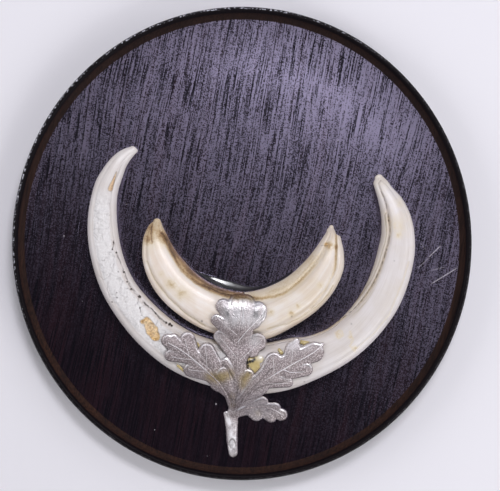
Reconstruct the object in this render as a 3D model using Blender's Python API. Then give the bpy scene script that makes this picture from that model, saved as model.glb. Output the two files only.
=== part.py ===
"""A mounted boar tusk trophy, lying on its back.

A round, dark wooden plaque carries two long lower tusks and two short upper tusks. One thin
casting, an oak sprig with four leaves, is bent over the four roots. A bed of black putty shows
where the upper tusks meet.

Frame: metres, +Z up. The origin is the centre of the plaque's flat back, X runs to the right and Y
towards the top of the trophy. Shapes are worked out in millimetres and scaled once, at the end.
"""

import math

import bmesh
import bpy
import numpy as np
from mathutils import Vector
from mathutils.geometry import delaunay_2d_cdt

MM = 0.001

# ---- plaque ----------------------------------------------------------------------------------
PLAQUE_WIDTH = 270.7
PLAQUE_HEIGHT = 278.9       # along the grain; the board has shrunk a little across it
PLAQUE_THICKNESS = 18.0
FIELD_HEIGHT = 14.0         # top of the recessed field, above the flat back
PLAQUE_SEGMENTS = 80
PLAQUE_COLOUR = (0.045, 0.036, 0.05)
# The turned edge, from the back up over the rim and down to the field: (distance in, height).
PLAQUE_EDGE = (
    (3.6, 0.0), (0.9, 1.6), (0.0, 8.5), (0.3, PLAQUE_THICKNESS - 3.6), (1.1, PLAQUE_THICKNESS - 1.1),
    (2.2, PLAQUE_THICKNESS), (3.2, PLAQUE_THICKNESS - 0.1), (4.3, FIELD_HEIGHT + 3.0),
    (5.6, FIELD_HEIGHT + 1.3), (6.7, FIELD_HEIGHT + 0.25), (7.6, FIELD_HEIGHT))

# ---- tusks -----------------------------------------------------------------------------------
GAP = 0.3                   # air left between touching pieces
LOWER_CENTRE = (1.3, 6.7)   # middle of the circle that both lower tusks follow
UPPER_CENTRE = (1.3, 16.6)  # the same for the upper tusks
WIDEST_AT = 0.42            # height of a tusk's widest line, as a share of its thickness
UNDER_ROUNDNESS = 3.0       # the underside is flatter than the top
SECTION_TURN = 6.0          # largest angle between two sections, degrees
GROOVE_FADE_TURN = 12.0     # the lengthwise grooves fade out over this angle at the tip
GROOVE_FADE_EDGE = 0.05     # and over this share of the width at the edges
GROOVE_SIDE = 1.4           # section points stand beside a groove at this many half-widths
TOP_PLACES = (0.0, 0.035, 0.40, 0.52, 0.64, 0.965, 1.0)
UNDER_PLACES = (0.965, 0.87, 0.68, 0.50, 0.32, 0.13, 0.035)

# A station is (turn from the tip in degrees, inner radius, outer radius, thickness, lift).
LOWER_LEFT_STATIONS = (
    (0, 78.0, 83.0, 3.6, 2.4), (3, 78.5, 86.0, 5.0, 2.2), (7, 78.7, 88.4, 7.0, 1.8),
    (13, 77.8, 90.3, 9.2, 1.2), (19, 77.2, 91.5, 10.8, 0.8), (28, 75.3, 91.5, 12.2, 0.3),
    (37, 73.4, 91.2, 13.4, 0), (49, 71.7, 90.3, 14.4, 0), (61, 70.0, 89.7, 15.2, 0),
    (73, 67.6, 89.1, 15.8, 0), (85, 66.3, 89.5, 16.2, 0), (97, 65.8, 90.5, 16.5, 0),
    (109, 65.4, 91.3, 16.6, 0), (126, 65.2, 92.4, 16.6, 0))
LOWER_RIGHT_STATIONS = (
    (0, 82.4, 87.3, 3.6, 2.4), (1, 81.0, 88.0, 4.6, 2.2), (2, 80.5, 88.7, 5.6, 2.0),
    (5, 80.4, 90.2, 7.4, 1.6), (10, 80.4, 94.3, 9.6, 1.1), (16, 80.4, 97.4, 11.6, 0.7),
    (22, 80.1, 99.2, 13.0, 0.3), (30, 78.6, 100.2, 14.4, 0), (46, 77.2, 100.1, 15.8, 0),
    (58, 76.2, 98.9, 16.4, 0), (70, 74.6, 97.5, 16.8, 0), (76, 72.7, 96.6, 17.0, 0),
    (82, 70.5, 95.8, 17.0, 0), (88, 67.5, 95.4, 17.0, 0), (94, 66.4, 95.4, 17.0, 0),
    (110, 65.2, 94.5, 17.0, 0))
UPPER_LEFT_STATIONS = (
    (0, 48.9, 53.1, 4.6, 2.6), (2, 48.3, 55.8, 7.0, 2.0), (4.5, 47.8, 57.5, 9.4, 1.6),
    (8, 46.9, 59.8, 11.6, 1.0), (12, 46.1, 61.6, 13.2, 0.6), (22, 45.0, 65.2, 15.6, 0),
    (37, 43.8, 68.1, 17.4, 0), (57, 44.2, 69.7, 18.2, 0), (72, 44.5, 71.1, 18.3, 0),
    (84.8, 44.8, 71.7, 18.4, 0))
UPPER_RIGHT_STATIONS = (
    (0, 50.0, 52.9, 3.8, 2.6), (1.7, 49.1, 54.0, 6.4, 2.2), (3.3, 49.0, 54.9, 8.4, 1.8),
    (4.1, 48.8, 57.4, 9.2, 1.6), (6.7, 48.0, 58.8, 11.0, 1.2), (11.7, 46.8, 61.8, 13.2, 0.6),
    (21.7, 45.2, 66.4, 16.0, 0), (36.7, 44.0, 69.2, 17.6, 0), (56.7, 43.9, 70.8, 18.2, 0),
    (66, 44.2, 72.5, 18.3, 0), (71, 44.4, 73.3, 18.4, 0), (80.5, 44.9, 73.8, 18.4, 0))

# A groove is (place across the section, half-width, depth, course). 0 is the inner edge and 1 the
# outer one. The course says where the groove really is, as (turn from the tip, place across); the
# points of every section move with it.
TUSKS = {
    "tusk_lower_left": dict(
        centre=LOWER_CENTRE, tip_angle=143.0, sense=1, stations=LOWER_LEFT_STATIONS,
        grooves=((0.20, 0.05, 1.0, ((0, 0.28), (20, 0.26), (45, 0.16), (90, 0.13), (126, 0.12))),
                 (0.78, 0.06, 0.5, ((0, 0.78), (30, 0.79), (126, 0.82)))),
        crest=0.52, roundness=2.3, colour=(0.66, 0.63, 0.65)),
    "tusk_lower_right": dict(
        centre=LOWER_CENTRE, tip_angle=22.0, sense=-1, stations=LOWER_RIGHT_STATIONS,
        grooves=((0.20, 0.05, 1.5, ((0, 0.36), (5, 0.26), (20, 0.23), (36, 0.17), (50, 0.11),
                                    (62, 0.05), (110, 0.05))),
                 (0.86, 0.05, 0.5, ((0, 0.80), (45, 0.82), (110, 0.84)))),
        crest=0.46, roundness=2.4, colour=(0.69, 0.65, 0.62)),
    "tusk_upper_left": dict(
        centre=UPPER_CENTRE, tip_angle=184.0, sense=1, stations=UPPER_LEFT_STATIONS,
        grooves=((0.20, 0.06, 1.5, ((0, 0.16), (14, 0.11), (38, 0.18), (60, 0.12), (85, 0.12))),
                 (0.86, 0.05, 1.0, ((0, 0.80), (22, 0.86), (43, 0.83), (67, 0.91), (85, 0.92)))),
        crest=0.50, roundness=2.1, colour=(0.70, 0.62, 0.55)),
    "tusk_upper_right": dict(
        centre=UPPER_CENTRE, tip_angle=-8.3, sense=-1, stations=UPPER_RIGHT_STATIONS,
        grooves=((0.30, 0.06, 1.6, ((0, 0.26), (27, 0.23), (50, 0.26), (62, 0.24), (80, 0.18))),
                 (0.80, 0.05, 1.4, ((0, 0.64), (16, 0.67), (23, 0.75), (46, 0.85), (80, 0.86)))),
        crest=0.50, roundness=2.1, colour=(0.66, 0.55, 0.42)),
}

# ---- oak sprig -------------------------------------------------------------------------------
LEAF_THICKNESS = 1.8
LEAF_CLEARANCE = 0.45       # air between the leaves and the tusks they are bent over
STEEPEST_FOLD = 1.05        # largest slope of the bent casting
HOLLOW_SPAN = 15.0          # it bridges a hollow between two tusks up to twice this wide
HOLLOW_SAG = 2.5            # and sags this much there
FOLD_REACH = 2.0            # how far it stands off every edge under it
FOLD_SOFTNESS = 1.6         # how far every bend is rounded
FOLD_SPREAD = 20.0          # how far out a fold can still slope down to the field
FOLD_STEP = 0.5             # spacing of the grid that the folds are worked out on
FOLD_LOW, FOLD_HIGH = (-62.0, -136.0), (62.0, -15.0)
VEIN_RISE = 0.6             # height of the ribs
STEM_RISE = 3.2             # the stem stands this much above the leaves' thickness
OUTLINE_LOW, OUTLINE_HIGH = (-50.0, -130.0), (52.0, -25.0)
OUTLINE_STEP = 0.5
OUTLINE_TOLERANCE = 0.10
OUTLINE_SPACING = 3.0
MESH_SPACING = 2.9
MESH_EDGE_ROOM = 1.1        # lattice points keep this far from the outline
MESH_RIB_ROOM = 1.3         # and this far from a rib's own line
LOBE_BLEND = 0.7            # radius that rounds the corner between two lobes

# A lobe is a tapered round bar seen from above: (x, y, radius) at its root and at its tip.
CENTRAL_LEAF = (
    (-2.1, -85.4, 2.9, -1.6, -70.4, 4.3), (-1.6, -70.4, 4.3, -1.5, -49.6, 8.0),
    (-1.5, -49.6, 8.0, -1.0, -42.7, 9.2), (-3.3, -41.5, 6.9, -10.5, -35.9, 4.4),
    (-2.1, -34.7, 5.9, 2.2, -35.0, 5.9), (0.8, -43.8, 6.9, 9.5, -38.3, 5.2),
    (4.8, -45.0, 4.9, 9.1, -40.4, 5.3), (-3.3, -51.9, 5.7, -14.4, -43.8, 3.4),
    (-3.3, -62.3, 5.7, -12.5, -53.4, 3.7), (-1.0, -62.3, 4.6, 9.1, -56.6, 5.2),
    (-3.3, -76.7, 2.6, -9.2, -67.6, 2.5), (0.7, -80.1, 3.2, 3.6, -75.3, 3.6),
    (3.6, -58.4, 5.7, 5.9, -61.2, 4.3), (3.6, -46.6, 3.4, 7.1, -44.9, 4.0))
LEFT_LEAF = (
    (-7.9, -88.5, 1.8, -16.2, -79.0, 2.6), (-8.5, -87.3, 2.0, -18.8, -73.8, 5.2),
    (-18.8, -73.8, 5.2, -31.4, -62.3, 5.7), (-31.4, -62.3, 5.7, -42.3, -55.7, 3.9),
    (-37.7, -56.0, 2.9, -39.0, -54.6, 3.0), (-28.0, -62.3, 3.4, -31.1, -55.2, 4.6),
    (-16.2, -69.2, 5.0, -20.1, -61.7, 4.8), (-30.8, -65.2, 3.7, -40.8, -64.3, 3.6),
    (-20.5, -74.1, 4.9, -29.3, -72.7, 4.2), (-13.6, -83.6, 2.3, -15.6, -82.1, 2.4),
    (-5.0, -90.4, 2.9, -10.2, -75.0, 4.6))
RIGHT_LEAF = (
    (-2.8, -93.4, 2.9, 9.4, -80.7, 5.5), (9.4, -80.7, 5.5, 15.7, -74.1, 5.4),
    (15.7, -74.1, 5.4, 18.5, -67.5, 5.3), (17.4, -72.7, 5.7, 31.2, -66.4, 5.7),
    (27.7, -66.9, 4.6, 29.7, -60.7, 4.8), (29.5, -60.0, 4.0, 31.5, -56.1, 2.0),
    (33.5, -65.2, 5.2, 41.5, -62.2, 5.9), (41.5, -61.2, 3.4, 46.6, -57.7, 0.9),
    (26.6, -73.8, 4.6, 36.8, -72.2, 4.1), (15.1, -78.4, 5.2, 26.5, -79.9, 3.1),
    (2.5, -91.6, 3.5, 11.7, -83.0, 3.7))
SMALL_LEAF = (
    (-4.0, -100.0, 2.6, 3.6, -96.9, 3.7), (4.2, -95.3, 3.2, 11.7, -92.0, 3.7),
    (11.8, -95.9, 3.5, 19.1, -96.2, 3.7), (16.5, -98.0, 3.5, 23.1, -100.5, 3.7),
    (11.8, -98.0, 3.5, 17.1, -101.7, 3.5), (3.9, -96.6, 3.7, 8.6, -100.3, 4.1))
STEM = (
    (-4.5, -95.3, 3.0, -6.1, -105.3, 3.6), (-6.1, -105.3, 3.6, -5.8, -115.4, 3.2),
    (-5.8, -115.4, 3.2, -5.2, -122.9, 2.7))
STEM_BUD = ((-7.5, -105.3, 2.0, -9.2, -100.1, 1.6), (-4.5, -97.8, 2.7, -7.0, -90.4, 2.3))
SPRIG_LOBES = CENTRAL_LEAF + LEFT_LEAF + RIGHT_LEAF + SMALL_LEAF + STEM + STEM_BUD

# The ribs of the leaves, from the stem to each tip.
RIBS = (
    ((-5.6, -97.0), (-3.3, -76.0), (-1.2, -50.0), (-0.6, -33.0)),
    ((-6.6, -93.0), (-18.5, -74.4), (-40.0, -57.9)),
    ((-4.4, -95.6), (7.0, -84.5), (18.4, -75.4), (40.1, -63.5)),
    ((-4.0, -100.0), (8.0, -96.8), (22.0, -99.2)))
RIB_HALF_WIDTH = 0.8
CUT_END_Y = -125.6          # the stem is cut off slantwise, from here up
CUT_END_HEIGHT = 2.4
CUT_SLOPE = 0.45

# ---- putty bed -------------------------------------------------------------------------------
PUTTY_HEIGHT = 3.6
# (angle around the upper tusks' centre in degrees, radius of the free edge)
PUTTY_EDGE = ((229, 43.0), (237, 41.2), (247, 39.6), (257, 39.3), (266, 40.4), (275, 41.9),
              (287, 42.8), (299, 42.6), (311, 43.0))
PUTTY_SECTIONS = 17
PUTTY_LEAST_WIDTH = 0.4
# One section, from the free edge to the tusks: (share of the width, share of the height).
PUTTY_SECTION = ((0.0, 0.0), (0.06, 0.42), (0.30, 0.80), (0.65, 0.97), (1.0, 1.0), (1.0, 0.0))
PUTTY_END_HEIGHT, PUTTY_END_SWELL = 0.35, 2.6


def smooth_through(stations, column, at):
    """Value of a station column at the places `at`, on a smooth curve that never overshoots."""
    table = np.array(stations, dtype=float)
    x, y = table[:, 0], table[:, column]
    step = np.diff(x)
    rise = np.diff(y) / step
    bend = np.zeros_like(y)
    both = rise[:-1] * rise[1:]
    same = both > 0
    bend[1:-1][same] = 2 * both[same] / (rise[:-1] + rise[1:])[same]
    bend[0], bend[-1] = rise[0], rise[-1]
    i = np.clip(np.searchsorted(x, at) - 1, 0, len(x) - 2)
    t = np.clip((at - x[i]) / step[i], 0, 1)
    start = (1 + 2 * t) * (1 - t) ** 2 * y[i] + t * (1 - t) ** 2 * step[i] * bend[i]
    end = t * t * (3 - 2 * t) * y[i + 1] - t * t * (1 - t) * step[i] * bend[i + 1]
    return start + end


def material(name, colour, roughness, metallic=0.0):
    mat = bpy.data.materials.new(name)
    mat.use_nodes = True
    shader = mat.node_tree.nodes["Principled BSDF"]
    shader.inputs["Base Color"].default_value = (*colour, 1.0)
    shader.inputs["Roughness"].default_value = roughness
    shader.inputs["Metallic"].default_value = metallic
    return mat


def new_object(name, points, faces, mat, smooth_angle=35.0):
    """A closed mesh object; the points are given in millimetres."""
    mesh = bpy.data.meshes.new(name)
    mesh.from_pydata([tuple(float(c) * MM for c in p) for p in points], [], faces)
    bm = bmesh.new()
    bm.from_mesh(mesh)
    bmesh.ops.recalc_face_normals(bm, faces=bm.faces)
    bm.to_mesh(mesh)
    bm.free()
    mesh.shade_smooth()
    mesh.set_sharp_from_angle(angle=math.radians(smooth_angle))
    mesh.materials.append(mat)
    obj = bpy.data.objects.new(name, mesh)
    bpy.context.scene.collection.objects.link(obj)
    return obj


# ---- plaque ----------------------------------------------------------------------------------

def build_plaque():
    """The board is turned round: one profile spun about Z, then made slightly oval."""
    radius = (PLAQUE_WIDTH + PLAQUE_HEIGHT) / 4
    edge = [(radius - inwards, height) for inwards, height in PLAQUE_EDGE]
    profile = [(0, 0)] + edge + [(0, FIELD_HEIGHT)]
    bm = bmesh.new()
    verts = [bm.verts.new((r, 0, z)) for r, z in profile]
    edges = [bm.edges.new(pair) for pair in zip(verts[:-1], verts[1:])]
    bmesh.ops.spin(bm, geom=verts + edges, cent=(0, 0, 0), axis=(0, 0, 1), angle=2 * math.pi,
                   steps=PLAQUE_SEGMENTS, use_merge=True)
    bmesh.ops.remove_doubles(bm, verts=bm.verts, dist=0.01)
    bmesh.ops.scale(bm, verts=bm.verts, vec=(PLAQUE_WIDTH / 2 / radius,
                                             PLAQUE_HEIGHT / 2 / radius, 1))
    bm.verts.index_update()
    points = [v.co.copy() for v in bm.verts]
    faces = [[v.index for v in f.verts] for f in bm.faces]
    bm.free()
    new_object("plaque", points, faces, material("ebonised_wood", PLAQUE_COLOUR, 0.45))


# ---- tusks -----------------------------------------------------------------------------------

def carried(value, knots, moved_knots):
    """The value, carried along when every knot moves to its new place."""
    result = np.zeros(np.broadcast(value, *knots, *moved_knots).shape)
    for a, b, new_a, new_b in zip(knots[:-1], knots[1:], moved_knots[:-1], moved_knots[1:]):
        between = (value >= a) & (value <= b)
        result = np.where(between, new_a + (value - a) / (b - a) * (new_b - new_a), result)
    return result


def groove_knots(tusk, turn):
    """Places of the edges and grooves in the section, and across the tusk at this turn."""
    at_rest = [0.0] + [at for at, _, _, _ in tusk["grooves"]] + [1.0]
    here = [0.0] + [np.interp(turn, *zip(*course)) for _, _, _, course in tusk["grooves"]] + [1.0]
    return at_rest, here


def arch(u, crest, roundness):
    """Height of a rounded section from 0 at its edges to 1 at its crest."""
    bend = math.log(0.5) / math.log(crest)
    across = np.abs(2 * np.clip(u, 0, 1) ** bend - 1)
    return np.clip(1 - across ** roundness, 0, 1) ** (1 / roundness)


def top_height(tusk, turn, u):
    """Top of the tusk above the plaque's back, at a turn from the tip and a place across."""
    thick = smooth_through(tusk["stations"], 3, turn)
    lift = smooth_through(tusk["stations"], 4, turn)
    share = WIDEST_AT + (1 - WIDEST_AT) * arch(u, tusk["crest"], tusk["roundness"])
    fade = np.clip(turn / GROOVE_FADE_TURN, 0, 1)
    at_rest, here = groove_knots(tusk, turn)
    v = carried(np.clip(u, 0, 1), here, at_rest)
    cut = sum(depth * np.exp(-((v - at) / width) ** 2) for at, width, depth, _ in tusk["grooves"])
    edge = np.clip(np.minimum(u, 1 - u) / GROOVE_FADE_EDGE, 0, 1)
    return FIELD_HEIGHT + GAP + lift + thick * share - cut * fade * edge


def under_height(tusk, turn, u):
    """Underside of the tusk: flatter than the top, so that it beds on the plaque."""
    thick = smooth_through(tusk["stations"], 3, turn)
    lift = smooth_through(tusk["stations"], 4, turn)
    return FIELD_HEIGHT + GAP + lift + thick * WIDEST_AT * (1 - arch(u, 0.5, UNDER_ROUNDNESS))


def turn_from_tip(tusk, degrees):
    """Turn from the tusk's tip to a direction seen from its centre; a little before it is below 0."""
    return (tusk["sense"] * (degrees - tusk["tip_angle"]) + 60) % 360 - 60


def section_places(tusk):
    """Places across the profile: the edges, the body and both sides of every groove."""
    places = set(TOP_PLACES)
    for at, width, _, _ in tusk["grooves"]:
        places.update((at - GROOVE_SIDE * width, at, at + GROOVE_SIDE * width))
    return np.array(sorted(places))


def section_turns(tusk):
    """A section at every station, and between them where they are far apart."""
    turns = [tusk["stations"][0][0]]
    for before, after in zip(tusk["stations"][:-1], tusk["stations"][1:]):
        parts = math.ceil((after[0] - before[0]) / SECTION_TURN - 1e-6)
        turns += [before[0] + (after[0] - before[0]) * (k + 1) / parts for k in range(parts)]
    return turns


def build_tusk(name, tusk):
    places = section_places(tusk)
    under = np.array(UNDER_PLACES)
    points = []
    for turn in section_turns(tusk):
        inner = smooth_through(tusk["stations"], 1, turn)
        outer = smooth_through(tusk["stations"], 2, turn)
        over = carried(places, *groove_knots(tusk, turn))
        across = np.concatenate((over, under))
        height = np.concatenate((top_height(tusk, turn, over), under_height(tusk, turn, under)))
        angle = math.radians(tusk["tip_angle"] + tusk["sense"] * turn)
        radius = inner + across * (outer - inner)
        x = tusk["centre"][0] + radius * math.cos(angle)
        y = tusk["centre"][1] + radius * math.sin(angle)
        points += list(zip(x, y, height))
    around = len(places) + len(under)
    rings = len(points) // around
    faces = [(r * around + k, r * around + (k + 1) % around,
              (r + 1) * around + (k + 1) % around, (r + 1) * around + k)
             for r in range(rings - 1) for k in range(around)]
    faces += [tuple(range(around)), tuple(range((rings - 1) * around, rings * around))]
    new_object(name, points, faces, material(name + "_ivory", tusk["colour"], 0.35), 50.0)


# ---- oak sprig -------------------------------------------------------------------------------

def bar_distance(x, y, lobe):
    """Distance to a tapered round bar, negative inside it."""
    x0, y0, r0, x1, y1, r1 = lobe
    dx, dy = x1 - x0, y1 - y0
    t = np.clip(((x - x0) * dx + (y - y0) * dy) / (dx * dx + dy * dy), 0, 1)
    return np.hypot(x - x0 - t * dx, y - y0 - t * dy) - (r0 + (r1 - r0) * t)


def sprig_distance(x, y):
    """Distance to the sprig's outline: all lobes joined, with rounded corners between them."""
    total = bar_distance(x, y, SPRIG_LOBES[0])
    for lobe in SPRIG_LOBES[1:]:
        other = bar_distance(x, y, lobe)
        share = np.clip(0.5 + 0.5 * (other - total) / LOBE_BLEND, 0, 1)
        total = other * (1 - share) + total * share - LOBE_BLEND * share * (1 - share)
    return total


def path_distance(x, y, path):
    """Distance to a line through several points."""
    nearest = np.full(np.shape(x), np.inf)
    for (x0, y0), (x1, y1) in zip(path[:-1], path[1:]):
        nearest = np.minimum(nearest, bar_distance(x, y, (x0, y0, 0, x1, y1, 0)))
    return nearest


def neighbours(grid):
    """The eight shifted copies of a grid, each with its distance in steps."""
    wide = np.pad(grid, 1, mode="edge")
    rows, columns = grid.shape
    for i in (0, 1, 2):
        for j in (0, 1, 2):
            if (i, j) != (1, 1):
                yield math.hypot(i - 1, j - 1), wide[i:i + rows, j:j + columns]


def widened(height, highest, reach):
    """The grid with every point as high as the highest (or lowest) within the reach."""
    for _ in range(round(reach / FOLD_STEP)):
        for _, moved in neighbours(height):
            height = highest(height, moved)
    return height


def bent_surface():
    """Heights that a bent sheet takes over the tusks, as a function of x and y."""
    step = FOLD_STEP
    xs = np.arange(FOLD_LOW[0], FOLD_HIGH[0] + step / 2, step)
    ys = np.arange(FOLD_LOW[1], FOLD_HIGH[1] + step / 2, step)
    gx, gy = np.meshgrid(xs, ys)
    height = np.full(gx.shape, FIELD_HEIGHT)
    for tusk in TUSKS.values():
        dx, dy = gx - tusk["centre"][0], gy - tusk["centre"][1]
        turn = turn_from_tip(tusk, np.degrees(np.arctan2(dy, dx)))
        last = tusk["stations"][-1][0]
        along = np.clip(turn, 0, last)
        inner = smooth_through(tusk["stations"], 1, along)
        outer = smooth_through(tusk["stations"], 2, along)
        u = (np.hypot(dx, dy) - inner) / (outer - inner)
        on_it = (u > 0) & (u < 1) & (turn > 0) & (turn < last + 2)
        height = np.where(on_it, np.maximum(height, top_height(tusk, along, u)), height)
    bridged = widened(widened(height, np.maximum, HOLLOW_SPAN), np.minimum, HOLLOW_SPAN)
    height = widened(np.maximum(height, bridged - HOLLOW_SAG), np.maximum, FOLD_REACH)
    for _ in range(round(FOLD_SPREAD / step)):
        for away, moved in neighbours(height):
            height = np.maximum(height, moved - STEEPEST_FOLD * step * away)
    for _ in range(round(1.5 * (FOLD_SOFTNESS / step) ** 2)):
        height = (height + sum(moved for _, moved in neighbours(height))) / 9

    def at(x, y):
        i = np.clip((np.asarray(y) - ys[0]) / step, 0, len(ys) - 1.001)
        j = np.clip((np.asarray(x) - xs[0]) / step, 0, len(xs) - 1.001)
        i0, j0 = i.astype(int), j.astype(int)
        fi, fj = i - i0, j - j0
        low = height[i0, j0] * (1 - fj) + height[i0, j0 + 1] * fj
        high = height[i0 + 1, j0] * (1 - fj) + height[i0 + 1, j0 + 1] * fj
        return low * (1 - fi) + high * fi

    return at


def outline(distance, low, high, step):
    """The longest closed line where the distance is zero, found cell by cell."""
    xs = np.arange(low[0], high[0], step)
    ys = np.arange(low[1], high[1], step)
    value = distance(*np.meshgrid(xs, ys))
    links = {}

    def crossing(i, j, across):
        a = value[i, j]
        b = value[i, j + 1] if across else value[i + 1, j]
        t = step * a / (a - b)
        return (xs[j] + t, ys[i]) if across else (xs[j], ys[i] + t)

    for i, j in np.ndindex(len(ys) - 1, len(xs) - 1):
        inside = value[i:i + 2, j:j + 2] < 0
        sides = [(i, j, True)] if inside[0, 0] != inside[0, 1] else []
        sides += [(i, j + 1, False)] if inside[0, 1] != inside[1, 1] else []
        sides += [(i + 1, j, True)] if inside[1, 0] != inside[1, 1] else []
        sides += [(i, j, False)] if inside[0, 0] != inside[1, 0] else []
        for a, b in zip(sides[::2], sides[1::2]):
            links.setdefault(a, []).append(b)
            links.setdefault(b, []).append(a)
    longest = []
    while links:
        start = here = next(iter(links))
        loop = []
        while here in links:
            loop.append(crossing(*here))
            ahead = links.pop(here)
            here = next((side for side in ahead if side in links), start)
        longest = max(longest, loop, key=len)
    return longest


def simplified(points, tolerance):
    """The same line with only the points that its shape needs."""
    if len(points) < 3:
        return points
    (x0, y0), (x1, y1) = points[0], points[-1]
    line = np.array(points)
    off = bar_distance(line[:, 0], line[:, 1], (x0, y0, 0, x1, y1 + 1e-9, 0))
    far = int(np.argmax(off))
    if off[far] < tolerance:
        return [points[0], points[-1]]
    return simplified(points[:far + 1], tolerance)[:-1] + simplified(points[far:], tolerance)


def divided(path, spacing):
    """The same line, with points added where they are further apart than the spacing."""
    out = [path[0]]
    for (x0, y0), (x1, y1) in zip(path[:-1], path[1:]):
        parts = max(1, math.ceil(math.hypot(x1 - x0, y1 - y0) / spacing))
        out += [(x0 + (x1 - x0) * k / parts, y0 + (y1 - y0) * k / parts)
                for k in range(1, parts + 1)]
    return out


def sprig_relief(x, y):
    """Height of the casting above its own sheet: ribs on the leaves, and the round stem."""
    rise = np.zeros(np.shape(x))
    for rib in RIBS:
        rise = np.maximum(rise, VEIN_RISE * np.exp(-(path_distance(x, y, rib) / RIB_HALF_WIDTH) ** 2))
    for bar in STEM:
        width = max(bar[2], bar[5])
        depth = np.clip(-bar_distance(x, y, bar) / width, 0, 1)
        rise = np.maximum(rise, STEM_RISE * np.sqrt(1 - (1 - depth) ** 2))
    return rise


def sprig_points():
    """Outline, ribs and an even lattice between them, with the lines that the mesh must keep."""
    loop = outline(sprig_distance, OUTLINE_LOW, OUTLINE_HIGH, OUTLINE_STEP)
    half = len(loop) // 2
    loop = simplified(loop[:half + 1], OUTLINE_TOLERANCE)[:-1] + \
        simplified(loop[half:] + loop[:1], OUTLINE_TOLERANCE)[:-1]
    loop = divided(loop + loop[:1], OUTLINE_SPACING)[:-1]
    points = list(loop)
    kept = [(k, (k + 1) % len(loop)) for k in range(len(loop))]
    stem_line = [STEM[0][:2]] + [bar[3:5] for bar in STEM]
    for path in RIBS + (tuple(stem_line),):
        line = divided(path, MESH_SPACING)
        kept += [(len(points) + k, len(points) + k + 1) for k in range(len(line) - 1)]
        points += line
    row_height = MESH_SPACING * math.sqrt(3) / 2
    for row in range(int((OUTLINE_HIGH[1] - OUTLINE_LOW[1]) / row_height)):
        y = OUTLINE_LOW[1] + row * row_height
        for k in range(int((OUTLINE_HIGH[0] - OUTLINE_LOW[0]) / MESH_SPACING)):
            x = OUTLINE_LOW[0] + (k + 0.5 * (row % 2)) * MESH_SPACING
            clear = min(float(path_distance(x, y, path)) for path in RIBS)
            if float(sprig_distance(x, y)) < -MESH_EDGE_ROOM and clear > MESH_RIB_ROOM:
                points.append((x, y))
    return points, kept


def build_sprig():
    points, kept = sprig_points()
    flat, _, triangles, _, _, _ = delaunay_2d_cdt([Vector(p) for p in points], kept, [], 1, 0.05)
    x = np.array([p[0] for p in flat])
    y = np.array([p[1] for p in flat])
    under = bent_surface()(x, y) + LEAF_CLEARANCE
    over = under + LEAF_THICKNESS + sprig_relief(x, y)
    cut = FIELD_HEIGHT + CUT_END_HEIGHT + CUT_SLOPE * (y - CUT_END_Y)
    over = np.maximum(np.minimum(over, cut), under + 0.5 * LEAF_THICKNESS)
    count = len(flat)
    edges = {}
    for face in triangles:
        for a, b in zip(face, face[1:] + face[:1]):
            edges[(a, b)] = True
    rim = [(a, b) for a, b in edges if (b, a) not in edges]
    faces = [tuple(face) for face in triangles]
    faces += [tuple(count + k for k in reversed(face)) for face in triangles]
    faces += [(b, a, count + a, count + b) for a, b in rim]
    corners = list(zip(x, y, over)) + list(zip(x, y, under))
    new_object("oak_sprig", corners, faces, material("cast_silver", (0.55, 0.52, 0.52), 0.35, 1.0))


# ---- putty bed -------------------------------------------------------------------------------

def build_putty():
    """A crescent of putty in the hollow of the upper tusks, thick where it meets them."""
    first, last = PUTTY_EDGE[0][0], PUTTY_EDGE[-1][0]
    points = []
    for k in range(PUTTY_SECTIONS):
        share_along = k / (PUTTY_SECTIONS - 1)
        degrees = first + (last - first) * share_along
        held = min(float(inner_radius("tusk_upper_left", degrees)),
                   float(inner_radius("tusk_upper_right", degrees))) - GAP
        free = min(smooth_through(PUTTY_EDGE, 1, degrees), held - PUTTY_LEAST_WIDTH)
        swell = min(1.0, PUTTY_END_HEIGHT + PUTTY_END_SWELL * math.sin(math.pi * share_along))
        angle = math.radians(degrees)
        for share, height in PUTTY_SECTION:
            radius = free * (1 - share) + held * share
            points.append((UPPER_CENTRE[0] + radius * math.cos(angle),
                           UPPER_CENTRE[1] + radius * math.sin(angle),
                           FIELD_HEIGHT + GAP + PUTTY_HEIGHT * height * swell))
    around = len(PUTTY_SECTION)
    faces = [(s * around + k, s * around + (k + 1) % around,
              (s + 1) * around + (k + 1) % around, (s + 1) * around + k)
             for s in range(PUTTY_SECTIONS - 1) for k in range(around)]
    faces += [tuple(range(around)), tuple(range(len(points) - around, len(points)))]
    new_object("putty_bed", points, faces, material("black_putty", (0.02, 0.018, 0.02), 0.15))


def inner_radius(name, degrees):
    """Inner radius of a tusk at an angle, or that of its nearest end."""
    tusk = TUSKS[name]
    turn = np.clip(turn_from_tip(tusk, degrees), 0, tusk["stations"][-1][0])
    return smooth_through(tusk["stations"], 1, turn)


def main():
    for obj in list(bpy.data.objects):
        bpy.data.objects.remove(obj, do_unlink=True)
    build_plaque()
    for name, tusk in TUSKS.items():
        build_tusk(name, tusk)
    build_sprig()
    build_putty()


main()
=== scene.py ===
# %% [markdown]
# # A mounted boar tusk trophy
#
# A turned, ebonised board carries four tusks: two long, thin ones from the lower jaw and two short,
# thick ones from the upper jaw. A cast silver oak sprig is bent over the place where their roots
# meet. This lesson dresses the plain solids of that trophy: every main piece is made again, finer,
# exactly where its solid is, and then gets its finish.
#
# Sizes are in millimetres and turned into metres once, when a mesh is made. Only the finishes read
# places in metres.

# %% Load the plain solids
import math
from functools import partial

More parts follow.
